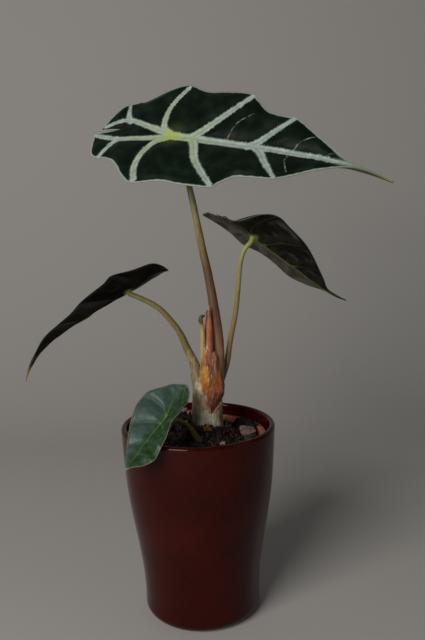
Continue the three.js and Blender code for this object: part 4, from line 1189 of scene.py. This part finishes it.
class ALOCASIA_OT_leaves(bpy.types.Operator):
    """Build the four leaf blades"""
    bl_idname = "alocasia.leaves"
    bl_label = "Leaves"

    def execute(self, context):
        look = context.scene.alocasia_leaves
        adult = blade_upper_material(
            "Leaf blade, waxy dark upper side", look, [(0.3, "#08130a"), (0.5, "#0d1b10"), (0.7, "#16281a")],
            cell_mm=14, painted_bluish_sheen=0.0, vein_shade=look.vein_shade, vein=look.vein_hex, band=(1.12, 1.0, 1.0),
            margin="#b4c2b2", hub="#b7c963", rough=0.3)
        # The young blade's upper side has a painted bluish sheen on one half.
        young = blade_upper_material(
            "Young leaf blade, slate green upper side", look,
            [(0.3, "#383a25"), (0.4, "#2b4026"), (0.52, "#314a2f"), (0.64, "#3e5940"), (0.76, "#5a705c")],
            cell_mm=12, painted_bluish_sheen=0.34, vein_shade="#4c6c34", vein="#62883f", band=(0.38, 0.6, 0.22),
            margin="#7f8563", hub="#86a650", rough=0.24)
        # This underside carries painted sheen on its crests and a painted lighter half.
        painted_sheen = blade_under_material(
            "Leaf blade, brownish underside with painted sheen",
            [(0.3, "#0d0b07"), (0.5, "#17140d"), (0.7, "#221d14")], painted_lit_half=("#5d564b", 0.75),
            vein="#737c40", vein_strength=0.85, tip_hex="#3f3c24", painted_sheen=0.5, gloss=0.45)
        brown = blade_under_material(
            "Leaf blade, dark olive-brown underside",
            [(0.3, "#080503"), (0.5, "#0f0a06"), (0.7, "#16110a")], painted_lit_half=("#100c07", 0.4),
            vein="#2b2812", vein_strength=0.5, tip_hex="#c39a5c", painted_sheen=0.0, gloss=0.2)
        plain = blade_under_material(
            "Leaf blade, purplish underside",
            [(0.3, "#30241f"), (0.5, "#43342c"), (0.7, "#4d4635")], painted_lit_half=("#43342c", 0.2),
            vein="#7a7a56", vein_strength=0.8, tip_hex="#5b5a3c", painted_sheen=0.0, gloss=0.5)
        green = blade_under_material(
            "Young leaf blade, pale green underside",
            [(0.3, "#3a4a33"), (0.5, "#4c5c41"), (0.7, "#5a6a50")], painted_lit_half=("#4c5c41", 0.2),
            vein="#84905f", vein_strength=0.7, tip_hex="#8a6a3c", painted_sheen=0.0, gloss=0.5)
        # Upper side, underside, slot, rows and columns of the mesh, and how far it swells.
        dress = {"tall_leaf": (adult, plain, "dark_blade", 300, 60, 1.0),
                 "right_leaf": (adult, painted_sheen, "blade_underside", 240, 48, 2.6),
                 "left_leaf": (adult, brown, "blade_underside", 240, 48, 0.7),
                 "low_leaf": (young, green, "young_blade", 200, 44, 2.8)}
        for name, (upper, under, slot, rows, columns, swell) in dress.items():
            mesh, sides = blade_mesh(name + "_blade", LEAVES[name], rows, columns, look.thickness / MM,
                                     swell * look.quilting / MM)
            piece = new_piece(name + "_blade", mesh, [upper, under], [name])
            piece.data.polygons.foreach_set("material_index", sides)
        return {"FINISHED"}


# ---- Stalks, stem and scales --------------------------------------------------------------------

def centripetal_path(points, per_span):
    """A smooth path through points (x, y, z), and how many points along it each place is."""
    points = np.asarray(points, float)
    padded = np.concatenate([[2 * points[0] - points[1]], points, [2 * points[-1] - points[-2]]])
    path, place = [], []
    for i in range(len(points) - 1):
        before, start, end, after = padded[i:i + 4]
        spans = (before, start), (start, end), (end, after)
        gaps = [max(np.linalg.norm(b - a), 1e-6) ** 0.5 for a, b in spans]
        slope_in = (start - before) / gaps[0] - (end - before) / (gaps[0] + gaps[1]) + (end - start) / gaps[1]
        slope_out = (end - start) / gaps[1] - (after - start) / (gaps[1] + gaps[2]) + (after - end) / gaps[2]
        slope_in, slope_out = slope_in * gaps[1], slope_out * gaps[1]
        for share in np.arange(per_span) / per_span:
            cubic = 2 * start - 2 * end + slope_in + slope_out
            square = -3 * start + 3 * end - 2 * slope_in - slope_out
            path.append(((cubic * share + square) * share + slope_in) * share + start)
            place.append(i + share)
    return np.array(path + [points[-1]]), np.array(place + [len(points) - 1])


def stalk_rings(points, sides, per_span):
    """Rings along a stalk through (x, y, z, radius), with the same way round at every ring."""
    points = np.asarray(points, float)
    path, place = centripetal_path(points[:, :3], per_span)
    radius = spline(points[:, 3:], place / (len(points) - 1))[:, 0]
    along = unit(np.gradient(path, axis=0))
    side = unit(np.cross(along[0], [0.0, -1.0, 0.0]))
    rings = []
    angle = ring_angles(sides)
    for centre, ahead, reach in zip(path, along, radius):
        side = unit(side - ahead * (side @ ahead))
        other = np.cross(ahead, side)
        rings.append(centre + reach * (np.cos(angle)[:, None] * side + np.sin(angle)[:, None] * other))
    return np.array(rings)


def full_stalk(name):
    """A stalk's points with the knee and the top that meets its blade."""
    points = list(STALKS[name])
    if name in LEAF_OF_STALK:
        leaf = LEAVES[LEAF_OF_STALK[name]]
        out = leaf_axes(leaf)[:, 2]
        radius = points[-1][3]
        knee = STALK_KNEES.get(name, 4)
        for below, swell in ((knee, 1.0), (0.4 * knee, 1.05), (0.2, 1.3)):
            points.append((*(np.array(leaf["hub"]) - below * out), radius * swell))
    return points


def stalk_solid(name, sides=36, per_span=14):
    """A stalk with faint ribs and knuckles, and how far along it each vertex is."""
    rings = stalk_rings(full_stalk(name), sides, per_span)
    centre = rings.mean(1, keepdims=True)
    bumps = 0.05 * lumps(rings * np.array([1, 1, 0.35]), 3.5, 3, 2.0) + 0.03 * lumps(rings, 14, 2, 8.0)
    rings = centre + (rings - centre) * (1 + bumps)[..., None]
    points, faces = ring_solid(rings)
    along = np.repeat(np.linspace(0, 1, len(rings)), sides)
    return points, faces, {"along": np.concatenate([along, [0, 1]])}


def fray_line(share, seed):
    """A wandering torn edge, from about -1 to 1."""
    return np.array([noise.noise(Vector((9 * s, 3.1 * seed, 0.7))) + 0.6 * noise.noise(
        Vector((27 * s, seed, 4.0))) for s in share.ravel()])[:, None]


def lobe_outline(lobes, height, angle):
    """The middle of some round lobes at each height, and how far their common outline reaches from
    there at each angle."""
    circles = []
    for lobe in lobes:
        table = spline(lobe, np.linspace(0, 1, 200))
        circles.append([np.interp(height, table[:, 0], table[:, i]) for i in (1, 2, 3)])
    x, y = (np.mean([circle[i] for circle in circles], 0) for i in (0, 1))
    facing = np.radians(np.arange(0, 360, 5))
    reach = [(c[0] - x)[..., None] * np.cos(facing) + (c[1] - y)[..., None] * np.sin(facing) + c[2][..., None]
             for c in circles]
    ahead = np.cos(angle[..., None] - facing)
    return x, y, np.min(np.where(ahead > 0.1, np.max(reach, 0) / np.maximum(ahead, 0.1), 1e3), -1)


def wrap_solid(shape, around, up):
    """A thin wrap round an upright axis. Gives its points, its faces and its attributes: the way up,
    the distance from its border and its colour."""
    share, t = np.linspace(0, 1, around + 1)[:, None], np.linspace(0, 1, up + 1)[None, :]
    foot = spline(np.array(shape["foot"], float)[:, None], share[:, 0])
    top = spline(np.array(shape["top"], float)[:, None], share[:, 0])
    seed = shape["seed"]
    foot = foot + shape["fray"][0] * fray_line(share, seed)
    top = top + shape["fray"][1] * fray_line(share, seed + 5)
    height = foot + (top - foot) * t
    start, end = shape["span"]
    angle = np.radians(start + (end - start) * share) + 0 * t
    x, y, radius = lobe_outline(shape["lobes"], height, angle)
    arc_place = np.stack([radius * np.cos(angle), radius * np.sin(angle), 0.45 * height], -1)
    creases = shape["wrinkle"] * lumps(arc_place, 3.0, 3, seed)
    border = np.minimum(np.minimum(share, 1 - share) * 1.5, np.minimum(t, 1 - t))
    lifted = shape["flare"] * (smooth(0.6, 1, t) + 0.5 * smooth(0.1, 0, border)) + creases
    sides = []
    for depth in (shape["thickness"], 0.0):
        reach = radius + lifted + depth * (0.15 + 0.85 * smooth(0, 0.05, border))
        sides.append(np.stack([x + reach * np.cos(angle), y + reach * np.sin(angle), height], -1))
    points, faces = sheet_solid(*sides)
    colour = spot_colours(np.degrees(angle), height, shape["ground"], shape["spots"], seed)
    numbers = {"along": np.tile((t + 0 * share).ravel(), 2), "border": np.tile(border.ravel(), 2),
               "tone": np.tile(colour.reshape(-1, 4), (2, 1))}
    return points, faces, numbers


def spot_colours(angle, height, ground, spots, seed):
    """Colours over a wrap: a ground colour and soft spots on it, whose edges wander."""
    place = np.stack([0.22 * angle, 0 * angle, height], -1)
    wander = 0.45 * lumps(place, 5, 3, seed + 11)
    colour = np.broadcast_to(linear(ground), (*angle.shape, 4)).copy()
    for middle, level, wide, tall, tint in spots:
        gap = np.hypot((angle - middle) * 0.21 / wide, (height - level) / tall) + wander
        share = smooth(1.2, 0.5, gap)[..., None]
        colour += (np.array(linear(tint)) - colour) * share
    return colour


def clasp_solid(around=200, up=230):
    """The clasping sheath as a closed tube that lies deeper where it opens in front."""
    table = spline(CLASP_AXIS, np.linspace(0, 1, 240))
    height = np.linspace(CLASP_AXIS[0][0], CLASP_AXIS[-1][0], up)[:, None]
    x, y, radius = (np.interp(height, table[:, 0], table[:, i]) for i in (1, 2, 3))
    angle = CLASP_FROM + 360 * np.arange(around)[None, :] / around + 0 * height
    turned = np.radians(angle)
    out = np.stack([np.cos(turned), np.sin(turned)], -1)
    place = np.concatenate([radius[..., None] * out, 0.35 * height[..., None] + 0 * out[..., :1]], -1)
    opening = np.array(CLASP_OPENING, float)
    left, right = (np.interp(height, opening[:, 0], opening[:, i]) for i in (1, 2))
    ragged = 3.5 * lumps(place, 2.2, 2, 5.0)
    inside = smooth(-2, 2, angle - left + ragged) * smooth(2, -2, angle - right + ragged)
    fibres = 0.32 * lumps(place, 4, 3, 1.0) + 0.16 * lumps(place * np.array([1, 1, 0.25]), 1.3, 2, 4.0)
    gap = np.minimum(np.abs(angle - left), np.abs(angle - right)) + 90 * (right - left < 1)
    lip = CLASP_LIP * np.exp(-(gap / 7) ** 2) * (1 - inside)
    reach = radius + fibres * np.minimum(radius / 9, 1) + lip - CLASP_DEPTH * radius * inside
    rings = np.stack([x + reach * out[..., 0], y + reach * out[..., 1], height + 0 * reach], -1)
    points, faces = ring_solid(rings)
    tone = spot_colours(angle, height + 0 * angle, "#e2d7b4", CLASP_SPOTS, 4.0)
    pink = (smooth(26, 2, gap + 6 * ragged) * (1 - inside) * 0.8)[..., None]
    tone = tone + (np.array(linear("#b3674c")) - tone) * pink
    caps = np.array([linear("#9b8a54")] * 2)
    border = np.concatenate([np.clip(gap / 90, 0, 0.5).ravel(), [0.5, 0.5]])
    return points, faces, {"tone": np.concatenate([tone.reshape(-1, 4), caps]), "border": border}


def join_parts(name, parts):
    """One mesh from several (points, faces, attributes)."""
    mesh = make_mesh(name, *merge_solids([part[:2] for part in parts]))
    for label, blank in (("along", 0.0), ("border", 0.5)):
        values = [part[2].get(label, np.full(len(part[0]), blank)) for part in parts]
        store(mesh, label, np.concatenate(values))
    if "tone" in parts[-1][2]:
        white = [part[2].get("tone", np.ones((len(part[0]), 4))) for part in parts]
        tone = mesh.attributes.new("tone", "FLOAT_COLOR", "POINT")
        tone.data.foreach_set("color", np.concatenate(white).astype(np.float32).ravel())
    return mesh


class ALOCASIA_OT_stalks(bpy.types.Operator):
    """Build the leaf stalks"""
    bl_idname = "alocasia.stalks"
    bl_label = "Leaf stalks"

    def execute(self, context):
        skins = {
            "tall_stalk": (stalk_material(
                "Leaf stalk skin, mottled brown", [(0.0, "#ad8468"), (0.17, "#a4765a"), (0.32, "#6f4a34"),
                                                   (0.44, "#6b4a2e"), (0.54, "#9a8a58"), (0.66, "#9da063")],
                "#5a3c28", 0.45, "#33200f"), "brown_stalk"),
            "right_stalk": (stalk_material(
                "Leaf stalk skin, straw yellow", [(0.0, "#82694c"), (0.3, "#8a7148"), (0.6, "#a19a66"),
                                                  (0.85, "#a9b367"), (1.0, "#9aae55")],
                "#8c7445", 0.35, "#4a3018"), "green_stalk"),
            "left_stalk": (stalk_material(
                "Leaf stalk skin, olive yellow", [(0.0, "#a39272"), (0.25, "#857248"), (0.5, "#7a7146"),
                                                  (0.8, "#82804a"), (1.0, "#9a9c58")],
                "#77673a", 0.35, "#4a3a1c"), "green_stalk"),
            "low_stalk": (stalk_material(
                "Young stalk skin, olive green", [(0.0, "#5d5524"), (0.3, "#605c28"), (0.7, "#73763b"),
                                                  (1.0, "#93a05a")],
                "#4d431f", 0.3, "#33260f"), "green_stalk"),
        }
        for name, (skin, slot) in skins.items():
            mesh = join_parts(name + "_skin", [stalk_solid(name)])
            new_piece(name + "_skin", mesh, [skin], [name])
        return {"FINISHED"}


def stem_profile():
    """The stem's own outline: the corm in the mix, the ringed foot and the top among the stalks."""
    return [(0.01, CORM_FOOT), (6, CORM_FOOT + 0.6), (9, CORM_FOOT + 2.5), (13.6, CORM_FOOT + 10),
            (14.8, CORM_FOOT + 17), (14.2, CORM_FOOT + 29), (13.5, STEM_TOP - 33), (12.9, STEM_TOP - 26),
            (12.2, STEM_TOP - 20), (11.7, STEM_TOP - 12), (11.3, STEM_TOP - 4), (10.9, STEM_TOP - 1.4),
            (9, STEM_TOP - 0.2), (0.01, STEM_TOP)]


class ALOCASIA_OT_stem(bpy.types.Operator):
    """Build the foot of the stem, with its rings and wrinkles"""
    bl_idname = "alocasia.stem"
    bl_label = "Stem"

    def execute(self, context):
        profile = spline(stem_profile(), np.linspace(0, 1, 190))
        profile[:, 0] = np.maximum(profile[:, 0], 0.01)
        rings = turned_rings(profile, STEM_SIDES, STEM_X)
        out = unit((rings - np.array([STEM_X, 0, 0])) * np.array([1, 1, 0]))
        around = ring_angles(STEM_SIDES)
        height = rings[..., 2] + 1.6 * np.sin(around) + 0.8 * np.sin(3 * around)
        scars = SCAR_HEIGHT * np.exp(-((np.mod(height, SCAR_SPACING) - SCAR_SPACING / 2) / SCAR_WIDTH) ** 2)
        scars = scars * (height > SCAR_ZONE[0]) * (height < SCAR_ZONE[1])
        body = smooth(CORM_FOOT, CORM_FOOT + 6, rings[..., 2]) * smooth(STEM_TOP, STEM_TOP - 5, rings[..., 2])
        wrinkles = 0.3 * lumps(rings * np.array([1, 1, 0.3]), 4, 3) + 0.1 * lumps(rings, 1.2, 2)
        points, faces = ring_solid(rings + out * ((wrinkles + scars - 0.25) * body)[..., None])
        mesh = make_mesh("stem_foot", points, faces)
        store(mesh, "along", smooth(144, 194, points[:, 2]))
        new_piece("stem_foot", mesh, [stem_material()], ["stem_base"])
        return {"FINISHED"}


def flake_parts(count, seed, first_angle, last_angle, low, high, tints):
    """Small torn flakes of old husk round the foot of the stem, from one angle and height to another,
    each in one of the tints."""
    draw = np.random.default_rng(seed)
    parts = []
    for i in range(count):
        middle = first_angle + (last_angle - first_angle) * (i + draw.uniform(0.2, 0.8)) / count
        half, foot = draw.uniform(6, 15), low + draw.uniform(-1, 3)
        top = foot + draw.uniform(0.35, 1) * (high - low)
        radius = FLAKE_RADIUS + draw.uniform(0, 1.4)
        slant = draw.uniform(-2, 2)
        shape = {"lobes": ([(low - 4, STEM_X, 0, radius), (high, STEM_X, 0, radius + 0.2),
                            (high + 6, STEM_X, 0, radius + 0.8)],),
                 "span": (middle - half, middle + half), "foot": (foot, foot - 0.5, foot),
                 "top": (top - 1.5 - slant, top, top - 1.5 + slant), "thickness": FLAKE_THICKNESS,
                 "fray": (0.8, 2.2), "wrinkle": 0.35, "flare": draw.uniform(0.3, 2.2),
                 "seed": float(seed + i), "ground": draw.choice(tints), "spots": ()}
        parts.append(wrap_solid(shape, 14, 10))
    return parts


class ALOCASIA_OT_scales(bpy.types.Operator):
    """Build the sheaths and scales on the stem, the cut stalk and the husks at its foot"""
    bl_idname = "alocasia.scales"
    bl_label = "Sheaths, scales and husks"

    def execute(self, context):
        film = husk_material("Dried sheath, glossy film", "#6a3218", 0.28,
                             gloss=0.9, rough=0.14, torn_share=0.12, speck_share=0.3)
        skin = husk_material("Bud scale, fleshy and salmon red", "#cf8350", 0.35,
                             gloss=0.35, rough=0.3, torn_share=0.4, speck_share=0.3)
        paper = husk_material("Husk, brown and brittle", "#2e1a0c", 0.5,
                              gloss=0.1, rough=0.4, torn_share=0.45, speck_share=0.4)
        clasp = husk_material("Clasping sheath, pale and fibrous", "#e6dfc2", 0.35,
                              gloss=0.2, rough=0.34, torn_share=0.3, speck_share=0.5)
        shred_points, shred_faces = ring_solid(stalk_rings(SALMON_SHRED, 8, 8))
        shred = (shred_points, shred_faces, {"tone": np.tile(linear("#b0703c"), (len(shred_points), 1))})
        left_tints = ["#7c4f22", "#8e5e2a", "#5d3a18", "#9c7138"]
        front_tints = ["#3a2412", "#6b4a26", "#86602f", "#92692f", "#2c1a0b"]
        left = flake_parts(15, 31, 148, 226, 154, 173, left_tints)
        front = flake_parts(24, 57, 222, 286, 155, 168, front_tints)
        rear = flake_parts(17, 83, -38, 158, 153, 164, left_tints)
        wraps = [
            ("amber_sheath", "dry_scale", film, "dry_husk", [wrap_solid(AMBER_SHEATH, 140, 110)]),
            ("salmon_scale", "red_scale", skin, "red_husk", [shred, wrap_solid(SALMON_SCALE, 60, 120)]),
            ("purple_sheath", "purple_scale", film, "purple_husk", [wrap_solid(PURPLE_SHEATH, 90, 44)]),
            ("left_flakes", "left_husk", paper, "dry_husk", left),
            ("front_flakes", "front_husk", paper, "dry_husk", front),
            ("rear_flakes", "", paper, "dry_husk", rear),
            ("clasping_sheath", "", clasp, "pale_stem", [clasp_solid()]),
        ]
        for name, node, material, slot, parts in wraps:
            new_piece(name, join_parts(name, parts), [material], [node] if node else [])
        stump = stalk_material("Cut stalk, drying", [(0.0, "#b59a52"), (0.38, "#c3b276"), (0.48, "#6a4a26"),
                                                     (0.56, "#2a170b"), (1.0, "#1c1009")],
                               "#8a6b33", 0.4, "#4a3018")
        new_piece("cut_stump", join_parts("cut_stump", [stalk_solid("cut_stalk", 28, 24)]), [stump],
                  ["cut_stalk"])
        return {"FINISHED"}


# ---- Stage, lights and camera -------------------------------------------------------------------

def add_light(name, power, place, target, size, colour):
    """A soft rectangular light that faces a target; places are in metres."""
    data = bpy.data.lights.new(name, "AREA")
    data.shape = "RECTANGLE"
    data.size, data.size_y = size
    data.energy = power
    data.color = colour
    light = new_object(name, data)
    light.location = place
    light.rotation_euler = (Vector(target) - Vector(place)).to_track_quat("-Z", "Y").to_euler()


def add_camera():
    """The camera, from its place, pitch, roll and focal length."""
    data = bpy.data.cameras.new("camera")
    data.sensor_width = SENSOR_MM
    data.lens = CAMERA_FOCAL_PIXELS * SENSOR_MM / IMAGE_LONG_SIDE_PIXELS
    data.clip_start, data.clip_end = 0.01, 20
    camera = new_object("camera", data)
    pitch, roll = math.radians(CAMERA_PITCH), math.radians(CAMERA_ROLL)
    right = Vector((1, 0, 0))
    up = Vector((0, math.sin(pitch), math.cos(pitch)))
    back = Vector((0, -math.cos(pitch), math.sin(pitch)))
    rolled_right = math.cos(roll) * right + math.sin(roll) * up
    rolled_up = -math.sin(roll) * right + math.cos(roll) * up
    axes = Matrix((rolled_right, rolled_up, back)).transposed().to_4x4()
    camera.matrix_world = Matrix.Translation(Vector(CAMERA_PLACE) * MM) @ axes
    bpy.context.scene.camera = camera


def sweep_mesh():
    """A floor that curves up into a backdrop all in one, in mm."""
    turns = np.radians(np.arange(6, 90, 6))
    bend = [(SWEEP_BACK + SWEEP_BEND * math.sin(a), SWEEP_BEND - SWEEP_BEND * math.cos(a)) for a in turns]
    wall = SWEEP_BACK + SWEEP_BEND
    profile = [(-SWEEP_REACH, 0), (SWEEP_BACK, 0), *bend, (wall, SWEEP_BEND), (wall, SWEEP_REACH)]
    rows = np.array([[(x, y, z) for y, z in profile] for x in (SWEEP_REACH, -SWEEP_REACH)], float)
    index = np.arange(rows.shape[0] * rows.shape[1]).reshape(rows.shape[:2])
    return make_mesh("paper_sweep", rows.reshape(-1, 3), grid_quads(index)[:, ::-1].tolist())


class ALOCASIA_OT_studio(bpy.types.Operator):
    """Build the paper sweep, the soft lights and the camera"""
    bl_idname = "alocasia.studio"
    bl_label = "Studio"

    def execute(self, context):
        look = context.scene.alocasia_studio
        mesh = sweep_mesh()
        mesh.materials.append(stage_material(look.paper))
        sweep = new_object("paper_sweep", mesh)
        add_light("key", look.key_power, *LIGHTS["key"])
        add_light("fill", look.fill_power, *LIGHTS["fill"])
        world = bpy.data.worlds.new("room")
        world.use_nodes = True
        background = world.node_tree.nodes["Background"]
        background.inputs["Color"].default_value = linear("#eceef0")
        background.inputs["Strength"].default_value = look.sky
        context.scene.world = world
        context.scene.view_settings.view_transform = "Standard"
        add_camera()
        return {"FINISHED"}


# ---- Panel and registration ---------------------------------------------------------------------

OPERATORS = (ALOCASIA_OT_studio, ALOCASIA_OT_cover_pot, ALOCASIA_OT_grow_pot, ALOCASIA_OT_potting_mix,
             ALOCASIA_OT_loose_bits, ALOCASIA_OT_stem, ALOCASIA_OT_stalks, ALOCASIA_OT_scales,
             ALOCASIA_OT_leaves)


class ALOCASIA_PT_panel(bpy.types.Panel):
    """Lists the pieces of the potted alocasia"""
    bl_label = "Potted alocasia"
    bl_idname = "ALOCASIA_PT_panel"
    bl_space_type = "VIEW_3D"
    bl_region_type = "UI"
    bl_category = "Alocasia"

    def draw(self, context):
        for settings in SETTINGS:
            group = getattr(context.scene, settings)
            for name in group.bl_rna.properties.keys():
                if name not in ("rna_type", "name"):
                    self.layout.prop(group, name)
        for operator in OPERATORS:
            self.layout.operator(operator.bl_idname)


SETTINGS = {"alocasia_pots": AlocasiaPots, "alocasia_leaves": AlocasiaLeaves,
            "alocasia_studio": AlocasiaStudio}


def register():
    """Registers the classes and gives each scene its settings."""
    for cls in (*SETTINGS.values(), *OPERATORS, ALOCASIA_PT_panel):
        bpy.utils.register_class(cls)
    for name, cls in SETTINGS.items():
        setattr(bpy.types.Scene, name, bpy.props.PointerProperty(type=cls))


def unregister():
    """Undoes what register does."""
    for name in SETTINGS:
        delattr(bpy.types.Scene, name)
    for cls in (ALOCASIA_PT_panel, *reversed(OPERATORS), *reversed(SETTINGS.values())):
        bpy.utils.unregister_class(cls)


def main():
    """Builds every piece in order."""
    register()
    for operator in OPERATORS:
        group, name = operator.bl_idname.split(".")
        getattr(getattr(bpy.ops, group), name)()


if __name__ == "__main__":
    main()
